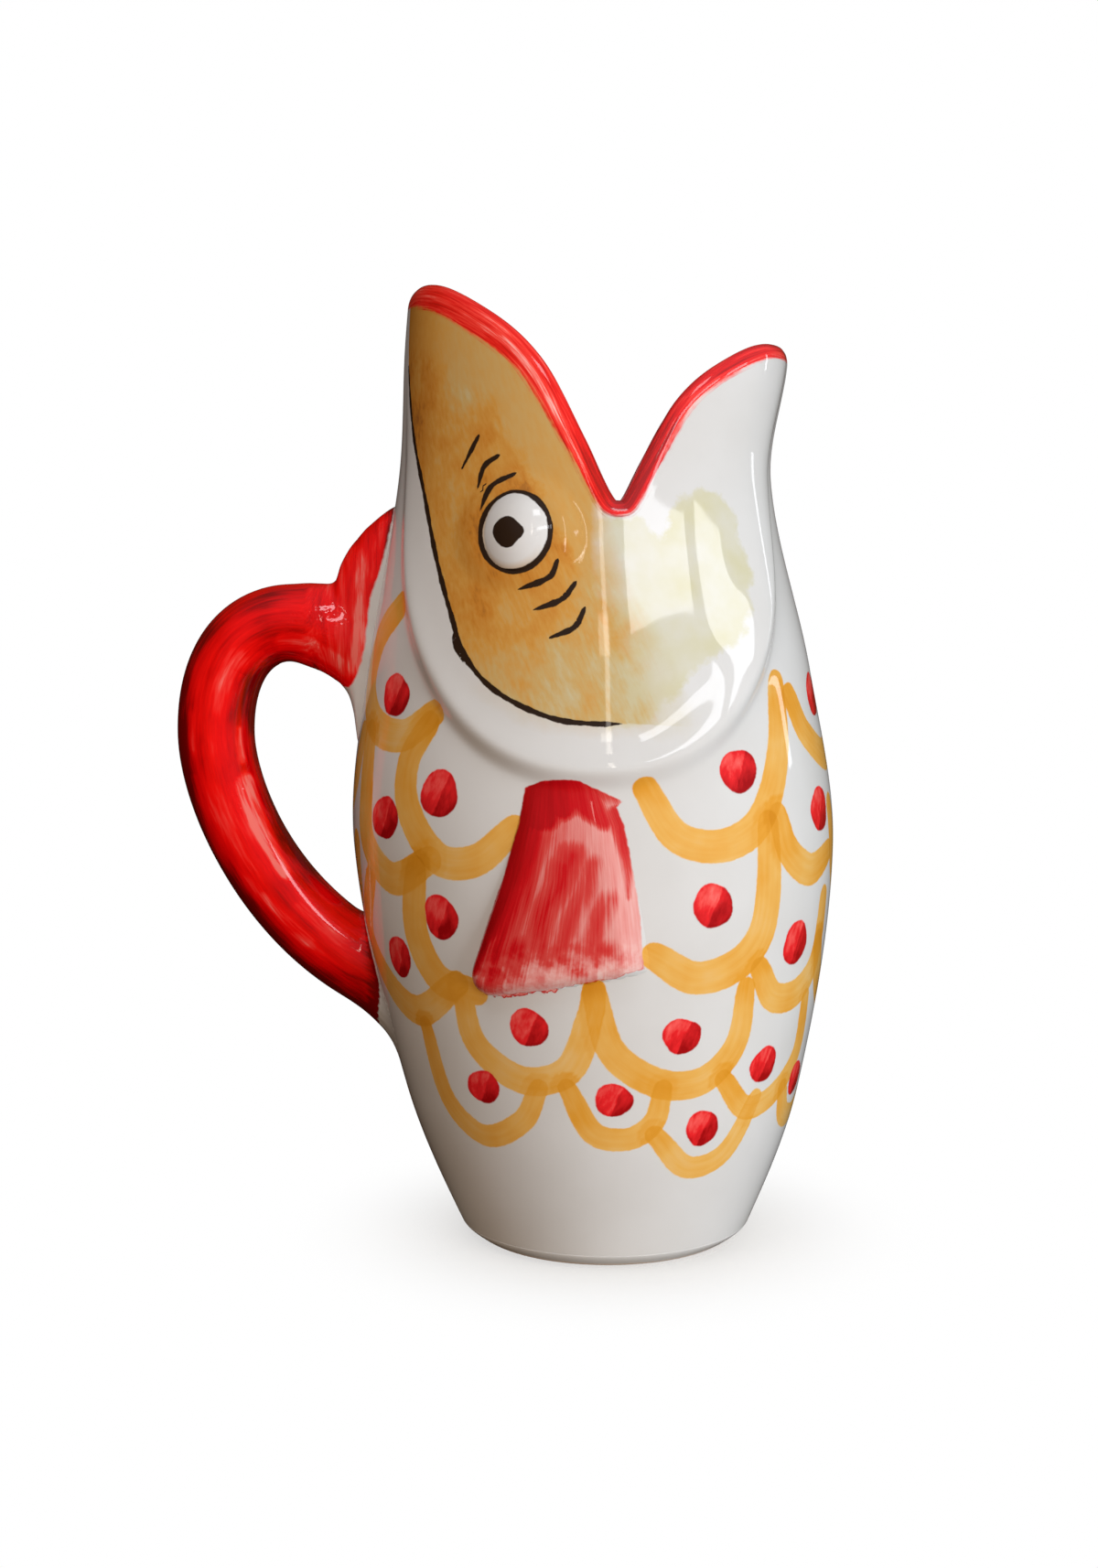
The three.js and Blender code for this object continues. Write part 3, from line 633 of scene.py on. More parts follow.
def clear_glaze(n, tree, shader, extra=0.0):
    """The dipped glaze's own surface: a slow ripple that bends reflections, and fine orange peel."""
    place = n("TexCoord", out=3)
    slow = n("TexNoise", {"Vector": place, "Scale": per(19), "Detail": 1.5})
    peel = n("TexNoise", {"Vector": place, "Scale": per(2.4), "Detail": 2.0})
    height = n("Math", peel, 0.05, slow, operation="MULTIPLY_ADD")
    height = n("Math", height, extra, operation="ADD")
    bump = n("Bump", {"Strength": 1.0, "Distance": 0.05 * MM, "Height": height})
    tree.links.new(bump, shader.inputs["Normal"])


def head_washes(n, place, ragged, colour):
    """Cream wash on the cheek, then the tan wash of the head: khaki and thin up the snout and where it fades
    out over the cheek, orange where more paint was worked in round the eye, darker brown towards the
    nape. One last even pass follows the lip."""
    (tan_edge, cream_edge, cheek_edge), (_, by_ring, _), (by_lip, _, _) = fields(n, "face", "eye", "lip")
    torn = n("TexNoise", {"Vector": place, "Scale": per(7), "Detail": 4.0, "Roughness": 0.65})
    thin = n("TexNoise", {"Vector": place, "Scale": per(11), "Detail": 3.0})
    cream = n("MapRange", frayed(n, cream_edge, torn, 9.0), -0.5, 1.2)
    cream = n("Math", cream, n("MapRange", thin, 0.25, 0.7, 0.35, 1.0), operation="MULTIPLY")
    colour = n("Mix", {0: cream, 6: colour, 7: linear(CREAM)}, out=2, data_type="RGBA")

    x, _, height = n("SeparateXYZ", place, out=None).outputs
    wander = n("TexNoise", {"Vector": place, "Scale": per(9), "Detail": 4.0, "Roughness": 0.6})
    swept = n("Mapping", {0: place, 2: (0, HEAD_BRUSH_LEAN, 0), 3: (1, 1, 2.6)}, vector_type="TEXTURE")
    brushed = n("TexNoise", {"Vector": swept, "Scale": per(6), "Detail": 5.0, "Roughness": 0.62})
    combed = n("Mapping", {0: place, 2: (0, HEAD_BRUSH_LEAN, 0), 3: (1, 1, 9)}, vector_type="TEXTURE")
    hair = n("TexNoise", {"Vector": combed, "Scale": per(1.1), "Detail": 3.0})
    worked = n("TexNoise", {"Vector": place, "Scale": per(19), "Detail": 4.0, "Roughness": 0.55})
    worked = n("MapRange", worked, 0.4, 0.68, 0.0, 0.2, interpolation_type="SMOOTHSTEP")
    by_eye = n("MapRange", by_ring, -24.0, -1.0, 0.0, 0.22)
    nape = n("MapRange", x, -43 * MM, -60 * MM, 0.0, 0.4)
    snout = n("MapRange", height, 228 * MM, 262 * MM, 0.0, -0.05)
    chin = n("MapRange", height, 186 * MM, 164 * MM, 0.0, -0.24)
    cheek = frayed(n, cheek_edge, wander, 11.0)
    fading = n("MapRange", cheek, 16.0, 0.0, 0.0, -0.3)
    thick = n("Math", brushed, 0.6, -0.13, operation="MULTIPLY_ADD")
    thick = n("Math", hair, 0.42, thick, operation="MULTIPLY_ADD")
    for part in (worked, by_eye, nape, snout, chin, fading):
        thick = n("Math", thick, part, operation="ADD")
    even = n("Math", hair, 0.12, n("Math", nape, 0.28, operation="ADD"), operation="MULTIPLY_ADD")
    last_pass = n("Math", wander, 14.0, by_lip, operation="MULTIPLY_ADD")
    last_pass = n("MapRange", last_pass, -6.0, -3.0, 0.0, 0.8)
    thick = n("Mix", {0: last_pass, 2: thick, 3: even})

    cover = n("MapRange", frayed(n, tan_edge, ragged, 0.7), -0.3, 0.3)
    cover = n("Math", cover, n("MapRange", cheek, -6.0, 8.0, 0.0, 0.97), operation="MULTIPLY")
    bleed = n("MapRange", frayed(n, tan_edge, wander, 5.0), -4.5, 0.0, 0.0, 0.3)
    for part in (n("MapRange", height, 172 * MM, 162 * MM), n("MapRange", cheek, -8.0, 4.0)):
        bleed = n("Math", bleed, part, operation="MULTIPLY")
    cover = n("Math", cover, bleed, operation="MAXIMUM")
    return n("Mix", {0: cover, 6: colour, 7: n("ValToRGB", thick, stops=TANS)}, out=2, data_type="RGBA")


def yellow_scales(n, place, ragged, colour):
    """Yellow brush strokes. The paint is darker where strokes cross, where the brush was set down, where it
    dried last and in streaks."""
    covered, streaks = 0.0, 0.0
    for edge, along, across in fields(n, "scale_a", "scale_b", "scale_c"):
        cover = n("MapRange", frayed(n, edge, ragged, 0.55), -0.25, 0.3, interpolation_type="SMOOTHSTEP")
        streak = brush_hairs(n, (along, 0.06), (across, 0.7), 3.0)
        covered = n("Math", cover, covered, operation="ADD")
        streaks = n("Math", n("Math", streak, cover, operation="MULTIPLY"), streaks, operation="MAXIMUM")
    load = n("Attribute", out=2, attribute_name="load")
    wet = n("TexNoise", {"Vector": place, "Scale": per(13), "Detail": 2.0})
    thick = -0.21
    for part, share in ((load, 0.45), (covered, 0.12), (wet, 0.5), (streaks, 0.24)):
        thick = n("Math", part, share, thick, operation="MULTIPLY_ADD")
    cover = n("Math", covered, 1.0, operation="MINIMUM")
    return n("Mix", {0: cover, 6: colour, 7: n("ValToRGB", thick, stops=YELLOWS)}, out=2, data_type="RGBA")


def red_dots(n, place, ragged, colour):
    """Red dots, each pressed on with a loaded brush and turned a little: streaked, thicker on the side where
    the brush came off and where the drop ran down."""
    ((edge, aside, height),) = fields(n, "dot")
    pressed = n("Mapping", {0: place, 2: (0, 0.35, 0), 3: (1, 1, 2.4)}, vector_type="TEXTURE")
    daub = n("TexNoise", {"Vector": pressed, "Scale": per(2.6), "Detail": 3.0, "Roughness": 0.6})
    rim = n("MapRange", edge, 1.2, 0.2, 0.0, 0.1)
    lifted = n("Math", daub, 2.0, aside, operation="MULTIPLY_ADD")
    lifted = n("Math", height, -0.45, lifted, operation="MULTIPLY_ADD")
    lifted = n("MapRange", lifted, 1.5, 2.3, -0.01, 0.27, interpolation_type="SMOOTHSTEP")
    run = n("MapRange", height, 2.0, -4.0, -0.02, 0.26)
    thick = n("Math", daub, 0.9, rim, operation="MULTIPLY_ADD")
    for part in (lifted, run):
        thick = n("Math", thick, part, operation="ADD")
    cover = n("MapRange", frayed(n, edge, ragged, 0.5), -0.2, 0.3, interpolation_type="SMOOTHSTEP")
    return n("Mix", {0: cover, 6: colour, 7: n("ValToRGB", thick, stops=DOT_REDS)}, out=2, data_type="RGBA")


def fin_wash(n, place, ragged, colour):
    """Thin red on the fins: a pink wash combed by the brush's hairs, dense passes on the cap and the rear
    edge, lighter ones between, and a torn hem whose lowest edge holds a fine dark line of paint."""
    (inside, share, down), (dense, light, _) = fields(n, "fin", "fin_pass")
    low = n("MapRange", down, 0.82, 0.93)
    bites = n("TexNoise", {"Vector": place, "Scale": per(5), "Detail": 3.0, "Roughness": 0.65})
    torn = n("Math", bites, 6.0, -3.0, operation="MULTIPLY_ADD")
    torn = n("Math", torn, low, inside, operation="MULTIPLY_ADD")
    torn = frayed(n, torn, ragged, 0.6)
    streak = brush_hairs(n, (share, 6.0), (down, 2.6), 5.0, 0.62)
    hair = brush_hairs(n, (share, 40.0), (down, 3.0), 3.0)
    rough = n("Math", streak, 0.4, -0.5, operation="MULTIPLY_ADD")
    rough = n("Math", hair, 0.6, rough, operation="MULTIPLY_ADD")
    cap = n("MapRange", n("Math", rough, 3.0, dense, operation="MULTIPLY_ADD"), -0.8, 0.9, 0.0, 0.43)
    mark = n("MapRange", n("Math", rough, 5.0, light, operation="MULTIPLY_ADD"), -2.0, 2.2, 0.0, 0.36)
    rear = n("MapRange", share, 0.9, -0.9, -0.05, 0.27)
    pooled = n("Math", n("MapRange", torn, 0.6, 0.1, -0.12, 0.5), low, operation="MULTIPLY")
    blots = n("MapRange", bites, 0.35, 0.65, -0.2, 0.06)
    blots = n("Math", blots, n("MapRange", down, 0.7, 0.85), operation="MULTIPLY")
    thick = n("Math", hair, 0.22, -0.08, operation="MULTIPLY_ADD")
    thick = n("Math", streak, 0.34, thick, operation="MULTIPLY_ADD")
    for part in (rear, n("Math", cap, mark, operation="MAXIMUM"), pooled, blots):
        thick = n("Math", thick, part, operation="ADD")
    cover = n("MapRange", torn, -0.2, 0.3, interpolation_type="SMOOTHSTEP")
    return n("Mix", {0: cover, 6: colour, 7: n("ValToRGB", thick, stops=FIN_REDS)}, out=2, data_type="RGBA")


def rim_wash(n, place, ragged, colour):
    """Red brushed along the lip in long hairs, pooled in the notch, thin at its lower edge, where the tan
    shows.
    Lighter along the turn of the snout's lip: a painted highlight, where the brush also ran dry."""
    ((inside, along, across),) = fields(n, "lip")
    streak = brush_hairs(n, (along, 0.05), (across, 1.1), 4.0, 0.65)
    torn = frayed(n, frayed(n, inside, streak, 3.6), ragged, 0.8)
    cover = n("MapRange", torn, -0.4, 1.2, 0.0, 0.97, interpolation_type="SMOOTHSTEP")
    x, _, height = n("SeparateXYZ", place, out=None).outputs
    pooled = n("MapRange", height, 246 * MM, 222 * MM, -0.3, 0.14)
    jaw = n("MapRange", x, 4 * MM, 16 * MM, 0.0, 0.14)
    # Painted highlight: lighter along the turn of the snout's lip, where the brush also ran dry
    crest = n("Math", n("Math", across, 0.9, operation="SUBTRACT"), operation="ABSOLUTE")
    crest = n("MapRange", crest, 0.3, 1.5, -0.4, 0.0)
    crest = n("Math", crest, n("MapRange", height, 272 * MM, 255 * MM), operation="MULTIPLY")
    thick = n("Math", streak, 1.7, pooled, operation="MULTIPLY_ADD")
    for part in (jaw, crest):
        thick = n("Math", thick, part, operation="ADD")
    return n("Mix", {0: cover, 6: colour, 7: n("ValToRGB", thick, stops=RIM_REDS)}, out=2, data_type="RGBA")


def eye_and_ink(n, place, colour):
    """White of the eye with a tan tint at its edge, the pupil, the ring about it and every other ink line."""
    (pupil, ring, lean), (offset, limit, _) = fields(n, "eye", "ink")
    tint = n("MapRange", lean, 5.0, -6.0, 0.0, 0.75)
    tint = n("Math", tint, n("MapRange", ring, 2.8, 0.2), operation="MULTIPLY")
    white = n("Mix", {0: tint, 6: linear(EYE_WHITE), 7: linear(EYE_TINT)}, out=2, data_type="RGBA")
    colour = n("Mix", {0: n("MapRange", ring, -0.3, 0.3), 6: colour, 7: white}, out=2, data_type="RGBA")
    shaky = n("TexNoise", {"Vector": place, "Scale": per(1.1), "Detail": 2.0})
    pressed = n("TexNoise", {"Vector": place, "Scale": per(8), "Detail": 1.0})
    width = n("MapRange", pressed, 0.3, 0.7, 0.7 * EYE_RING_HALF, 1.3 * EYE_RING_HALF)
    drawn = pupil
    for half, away in ((limit, offset), (width, ring)):
        line = n("Math", half, n("Math", away, operation="ABSOLUTE"), operation="SUBTRACT")
        drawn = n("Math", drawn, line, operation="MAXIMUM")
    cover = n("MapRange", frayed(n, drawn, shaky, 0.3), -0.12, 0.14)
    return n("Mix", {0: cover, 6: colour, 7: linear(INK_BLACK)}, out=2, data_type="RGBA")


def painted_earthenware():
    """Slip-cast white earthenware, brushed with underglaze colours and dipped in clear glaze. The eye sees
    hand-laid strokes with darker overlaps and pooled edges below a wet, slightly rippled shine."""
    material, tree, shader, n = new_finish("painted_white_earthenware", Roughness=0.04, IOR=1.52)
    place = n("TexCoord", out=3)
    ragged = n("TexNoise", {"Vector": place, "Scale": per(1.6), "Detail": 3.0})
    mottle = n("TexNoise", {"Vector": place, "Scale": per(26), "Detail": 3.0})
    colour = n("ValToRGB", mottle, stops=WHITES)
    for wash in (head_washes, yellow_scales, red_dots, fin_wash, rim_wash):
        colour = wash(n, place, ragged, colour)
    tree.links.new(eye_and_ink(n, place, colour), shader.inputs["Base Color"])
    clear_glaze(n, tree, shader)
    return material


def red_brushed_earthenware():
    """The tail's red underglaze, laid on in long brush passes below clear glaze: dark where passes overlap,
    lighter between the hairs, with white body showing at the joints and two patches of pinholes. Its outer
    and inner sides are darkened as painted shade, and a pale strip along the lower bow's inner side is a
    painted reflection of the white belly."""
    material, tree, shader, n = new_finish("red_brushed_earthenware", Roughness=0.05, IOR=1.6)
    place = n("TexCoord", out=3)
    ((along, around, clear),) = fields(n, "stalk")
    passes = brush_hairs(n, (along, 0.03), (around, 0.16), 4.0, 0.6)
    hair = brush_hairs(n, (along, 0.09), (around, 1.1), 3.0)
    loaded = n("TexNoise", {"Vector": place, "Scale": per(32), "Detail": 2.0})
    thick = -0.98
    for part, share in ((passes, 1.3), (hair, 0.5), (loaded, 1.3)):
        thick = n("Math", part, share, thick, operation="MULTIPLY_ADD")
    # Pale passes lighten the red: thin paint, and along the lower bow's inner side a painted reflection of
    # the belly
    thin = n("Attribute", out=2, attribute_name="thin")
    bare = n("MapRange", n("Math", hair, 0.5, passes, operation="MULTIPLY_ADD"), 0.4, 1.1, -0.75, -0.2)
    thick = n("Math", thin, bare, thick, operation="MULTIPLY_ADD")
    # Painted shade: darker on the outer side below the shoulder and on the inner side.
    # Also darker close inside the red's edge at the joints, away from the lower lobe.
    middle = math.pi * TAIL_HALF_DEPTH
    outside = n("MapRange", around, middle + 5, middle + 14, 0.0, 0.7)
    outside = n("Math", outside, n("MapRange", along, 120.0, 106.0), operation="MULTIPLY")
    inner = n("MapRange", around, middle - 6, middle - 15, 0.0, 0.45)
    off_lobe = n("Math", n("Math", along, LOWER_LOBE, operation="SUBTRACT"), operation="ABSOLUTE")
    pooled = n("MapRange", clear, 6.0, 0.5, 0.0, 0.34)
    pooled = n("Math", pooled, n("MapRange", off_lobe, 12.0, 24.0), operation="MULTIPLY")
    for part in (outside, n("Math", inner, pooled, operation="MAXIMUM")):
        thick = n("Math", thick, part, operation="ADD")
    ragged = n("TexNoise", {"Vector": place, "Scale": per(2.2), "Detail": 3.0})
    cover = n("MapRange", frayed(n, clear, ragged, 1.0), -0.3, 0.4)
    mottle = n("TexNoise", {"Vector": place, "Scale": per(26), "Detail": 3.0})
    white = n("ValToRGB", mottle, stops=WHITES)
    colour = n("Mix", {0: cover, 6: white, 7: n("ValToRGB", thick, stops=TAIL_REDS)}, out=2, data_type="RGBA")
    tree.links.new(colour, shader.inputs["Base Color"])
    pits = n("TexVoronoi", {"Vector": place, "Scale": per(1.3), "Randomness": 1.0})
    spots = n("TexNoise", {"Vector": place, "Scale": per(5), "Detail": 2.0})
    depth = n("MapRange", pits, 0.0, 0.45, -2.2, 0.0)
    for part in (n("Attribute", out=2, attribute_name="pitted"), n("MapRange", spots, 0.35, 0.6)):
        depth = n("Math", depth, part, operation="MULTIPLY")
    clear_glaze(n, tree, shader, depth)
    return material


def wiped_foot():
    """Bare fired earthenware, chalky and fine-grained, where the foot was wiped. Glaze lies above it."""
    material, tree, shader, n = new_finish("wiped_earthenware_foot", IOR=1.52)
    place = n("TexCoord", out=3)
    grain = n("TexNoise", {"Vector": place, "Scale": per(0.8), "Detail": 4.0})
    mottle = n("TexNoise", {"Vector": place, "Scale": per(14), "Detail": 3.0})
    height = n("SeparateXYZ", place, out=2)
    level = n("Math", mottle, 0.9 * MM, height, operation="MULTIPLY_ADD")
    glazed = n("MapRange", level, 1.3 * MM, 1.7 * MM)
    clay = n("ValToRGB", grain, stops=CLAY)
    white = n("ValToRGB", mottle, stops=WHITES)
    colour = n("Mix", {0: glazed, 6: clay, 7: white}, out=2, data_type="RGBA")
    tree.links.new(colour, shader.inputs["Base Color"])
    tree.links.new(n("MapRange", glazed, 0.0, 1.0, 0.85, 0.08), shader.inputs["Roughness"])
    bump = n("Bump", {"Strength": 0.5, "Distance": 0.08 * MM, "Height": grain})
    tree.links.new(bump, shader.inputs["Normal"])
    return material


painted = painted_earthenware()
tail_red = red_brushed_earthenware()
foot_clay = wiped_foot()


# Body and rim, cut from one skin so that no step shows between them

def jug_skin():
    """Rings of points up the outside, over the lip and down the inside, with the paint of the lip at each."""
    bearing = (np.arange(COLUMNS) + 0.5) / COLUMNS * 360 - 180
    start = mouth_edge(bearing)
    along = unit(mouth_edge(bearing + 0.3) - mouth_edge(bearing - 0.3))
    out = skin_normal(bearing, start[:, 2])
    up = unit(np.cross(out, along))
    up = up * np.sign(up[:, 2:])
    length = np.cumsum(np.linalg.norm(start - np.roll(start, 1, 0), axis=1))
    red = read_off(RIM_RED, np.abs(bearing))

    def rows(shares, bottom, seam, wall):
        """Rows of the skin up to a seam: level at first, then leaning with it, and meeting it at the top."""
        level = mix(bottom, LIP_LOW, shares[:, None])
        z = level + (seam[:, 2] - LIP_LOW) * smooth((shares[:, None] - 0.45) / 0.55)
        shift = seam - skin(bearing, seam[:, 2], -wall, wall == 0)
        return skin(bearing, z, -wall, wall == 0) + shift * smooth((shares - 0.85) / 0.15)[:, None, None], z

    def lip_paint(inside, across):
        """Distance into the rim's red, length along the lip and place across it."""
        return np.stack([np.maximum(inside, OFF_BRUSH[0]), np.broadcast_to(length, inside.shape), across], -1)

    outer, outer_z = rows(np.linspace(0, 1, ROWS_OUTSIDE + 1), HEEL_HEIGHT, start - RIM_BAND * up, 0)
    turn = np.linspace(0, np.pi, LIP_STEPS + 1)[:, None, None]
    lip = start - WALL / 2 * (1 - np.cos(turn)) * out + LIP_RISE * np.sin(turn) * up
    inner_start = start - WALL * out
    bottom = HEEL_HEIGHT + FLOOR
    shares = np.linspace(1, 0, ROWS_INSIDE + 1)
    inner, _ = rows(shares, bottom + FLOOR_CORNER, inner_start - RIM_BAND * up, WALL)
    bend = np.linspace(0, np.pi / 2, CORNER_STEPS)[1:, None]
    level, inset = bottom + FLOOR_CORNER * (1 - np.sin(bend)), WALL + FLOOR_CORNER * (1 - np.cos(bend))
    corner = skin(bearing, level, -inset, False)
    middle = corner[-1].mean(0)
    floor = middle + (corner[-1] - middle) * np.linspace(1, 0.02, FLOOR_STEPS)[1:, None, None]
    inside = np.concatenate([inner, corner, floor])

    over = np.cumsum(np.linalg.norm(np.diff(lip, axis=0, prepend=lip[:1]), axis=-1), axis=0)
    below = ((start - outer) * up).sum(-1)
    inner_below = ((inner_start - inside) * up).sum(-1)
    outer_lip = lip_paint(red - below, -below)
    rim_lip = lip_paint(np.minimum(red + over, RIM_RED_INSIDE + over[-1] - over), over)
    inner_lip = lip_paint(RIM_RED_INSIDE - inner_below, inner_below + LIP_LENGTH)
    return bearing, outer_z, outer, lip, inside, outer_lip, rim_lip, inner_lip


def unpainted(count):
    """Paint layers for points that no brush reached."""
    off, nowhere = np.tile(OFF_BRUSH, (count, 1)), np.full((count, 3), OFF_BRUSH[0])
    layers = dict.fromkeys(("scale_a", "scale_b", "scale_c", "dot", "fin"), off)
    layers.update(dict.fromkeys(("face", "eye", "fin_pass"), nowhere))
    return dict(layers, load=np.zeros(count), ink=np.tile(OFF_PEN, (count, 1)))


def join_paint(*parts):
    return {label: np.concatenate([part[label] for part in parts]) for label in parts[0]}


def make_body_and_rim():
    bearing, outer_z, outer, lip, inside, outer_lip, rim_lip, inner_lip = jug_skin()
    whole = ring_normals(np.concatenate([outer, lip, inside]))
    first, last = len(outer), len(outer) + len(lip)

    rings = np.concatenate([outer, inside])
    points, faces = capped(rings)
    ends = [[0, 0, -1], [0, 0, 1]]
    normals = np.concatenate([whole[:first].reshape(-1, 3), whole[last:].reshape(-1, 3), ends])
    columns = np.broadcast_to(bearing, outer_z.shape).ravel()
    paint = join_paint(paint_layers(columns, outer_z.ravel()), unpainted(inside.shape[0] * COLUMNS + 2))
    red = np.concatenate([outer_lip.reshape(-1, 3), inner_lip.reshape(-1, 3), [OFF_BRUSH, OFF_BRUSH]])
    make_piece("painted_body", "body_shell", "white_glaze", painted, points, faces, normals, lip=red, **paint)

    rings = np.concatenate([outer[-1:], lip, inside[:1]])
    columns = np.broadcast_to(bearing, lip.shape[:2]).ravel()
    outer_half = paint_layers(columns, np.minimum(lip[..., 2].ravel(), JUG_HEIGHT))
    edge = paint_layers(bearing, outer_z[-1])
    paint = join_paint(edge, outer_half, unpainted(COLUMNS))
    red = np.concatenate([outer_lip[-1], rim_lip.reshape(-1, 3), inner_lip[0]])
    normals = whole[first - 1:last + 1].reshape(-1, 3)
    faces = strips(len(rings), COLUMNS, joined=True)
    points = rings.reshape(-1, 3)
    make_piece("red_rim", "mouth_rim", "rim_red", painted, points, faces, normals, lip=red, **paint)


# Tail

TAIL_LOWER, TAIL_UPPER = 90.0, 110.0  # how far along the stalk its lower part ends and its upper part begins
TAIL_FIN_BACK = 94.0  # how far behind the axis the tail fin begins
STALK_INSIDE = 26.0  # length of the stalk that lies inside the belly's wall
STALK_SIDES = 144
# Distance behind the axis where a change towards the nape sets in, and over what length it comes
RINGS_UPRIGHT, LOBES_OPEN, BRUSH_TURNS = (104, 12), (99, 12), (89, 11)
STALK_ROUNDS, STALK_ROUND_LENGTH = 86, 14
STALK_END = 18.0  # length of the stalk's round end inside the lobes
LOWER_LOBE_SQUARE, UPPER_LOBE_SQUARE = 3.2, 2.3  # how square the lobes are in section
SLIP_ABOVE, SLIP_BELOW = 3.5, 13.0  # width of the slip at the lower joint, above and below the stalk

# The tail fin's outline from the side: distance behind the axis, height of its upper and its lower edge
TAIL_FIN_EDGES = np.array([
    (56, 219.5, 145), (63.5, 216.5, 145.5), (70.5, 211, 146), (72.8, 208.5, 146.5), (73.6, 207.5, 147.5),
    (74.6, 206.4, 155.5), (76, 204.5, 161), (78.3, 200.3, 164.6), (80, 195.5, 166), (84.5, 193.5, 169.2),
    (90, 193, 171.3), (100, 192.5, 173.6),
])
TAIL_LOBE_HALF = 7.8

# Patches of pinholes: centre as x and height, half length, half height
PITTED = [((-84, 183), 13, 10), ((-108.5, 133), 5, 19)]

# The red ends short of the nape: height, width left white. Below the lowest red the slip is left white.
NAPE_BARE = [(163, 5.5), (167, 3.4), (172, 2.2), (178, 2.0), (190, 2.6), (200, 1.2), (214, 0.1)]
LOWEST_RED = 164.2

# Passes where the tail's red is pale: half width at the start and the end, how bare, and the way along
# and round the stalk. The first two, along the lower bow's inner side, are a painted reflection of the
# white belly; the rest went on thin.
TAIL_THIN_AND_REFLECTION = [
    (0.9, 1.4, 1.0, [(91.5, 26.5), (80.5, 26.5)]),
    (3.6, 2.2, 1.0, [(72.5, 27), (60.5, 28), (51, 28.5), (42, 29.5)]),
    (1.4, 1.0, 0.5, [(95, 43), (85.5, 42)]),
    (1.0, 0.8, 0.35, [(78, 44), (66, 43)]),
    (1.3, 2.4, 0.45, [(39, 39), (22, 38.5)]),
    (1.2, 1.6, 0.4, [(31, 33), (14, 31.5)]),
    (3.0, 1.6, 0.2, [(115, 34), (103, 33), (97, 35)]),
    (2.4, 1.6, 0.3, [(121, 28), (110, 30.5)]),
    (3.0, 2.2, 0.45, [(133, 30), (141, 29.5), (151, 26)]),
]
# The same on the lobes, with the way as x and height
LOBE_THIN = [
    (1.2, 2.4, 0.7, [(-64.5, 213.5), (-67.5, 206), (-69, 198)]),
    (3.0, 2.2, 0.7, [(-74, 203), (-72, 198), (-71.5, 192), (-72, 185)]),
    (1.8, 2.6, 0.85, [(-72, 183), (-72.5, 175.5), (-74, 170.5)]),
]


def curve(*points):
    """A cubic between two points, pulled towards the two given between them."""
    t = np.linspace(0, 1, 120)[:, None]
    a, b, c, d = np.array(points, float)
    return (1 - t) ** 3 * a + 3 * t * (1 - t) ** 2 * b + 3 * t * t * (1 - t) * c + t ** 3 * d


def tail_way():
    """The stalk's centreline in the plane of the loop, from inside the belly's wall to inside the nape's, and
    how far along from the belly each point lies. The points are closest where the lobes begin."""
    low = np.array([-reach(BACK, TAIL_FOOT), TAIL_FOOT])
    bow = np.array([-SECTIONS[3, BACK] - TAIL_REACH, TAIL_BOW])
    top = np.array([-reach(BACK, TAIL_TOP), TAIL_TOP])
    leave = low + (bow - low) * (0.69, 0.235)
    nape = (mix(bow[0], top[0], 0.45), TAIL_TOP + TAIL_ARCH)
    lower = curve(low, leave, bow - (0, 0.26 * (bow - low)[1]), bow)
    upper = curve(bow, bow + (0, 1.25 * (top - bow)[1]), nape, top)
    inward = low - unit(leave - low) * np.linspace(STALK_INSIDE, 0.5, 40)[:, None]
    onward = top + np.linspace(0.5, 14, 15)[:, None] * (1, 0)
    way = np.concatenate([inward, lower, upper[1:], onward])
    at = length_along(way)
    lobes, wall, end = at[-1] - 34, at[-1] - 10, at[-1]
    places = np.concatenate([np.arange(0, lobes, 1.2), np.arange(lobes, wall, 0.2), np.arange(wall, end, 1)])
    return np.stack([np.interp(places, at, way[:, k]) for k in (0, 1)], -1), places - STALK_INSIDE


def towards_nape(at, x, start, length):
    """Share of a change that sets in on the tail's upper part at a distance behind the axis."""
    return np.where(at > TAIL_UPPER, smooth((start + x) / length), 0)[:, None]


def pitted(points):
    x, z = points[:, 0], points[:, 2]
    patches = [1 - np.hypot((x - centre[0]) / wide, (z - centre[1]) / high) for centre, wide, high in PITTED]
    return smooth(np.max(patches, axis=0) * 1.6) * (points[:, 1] < 4)


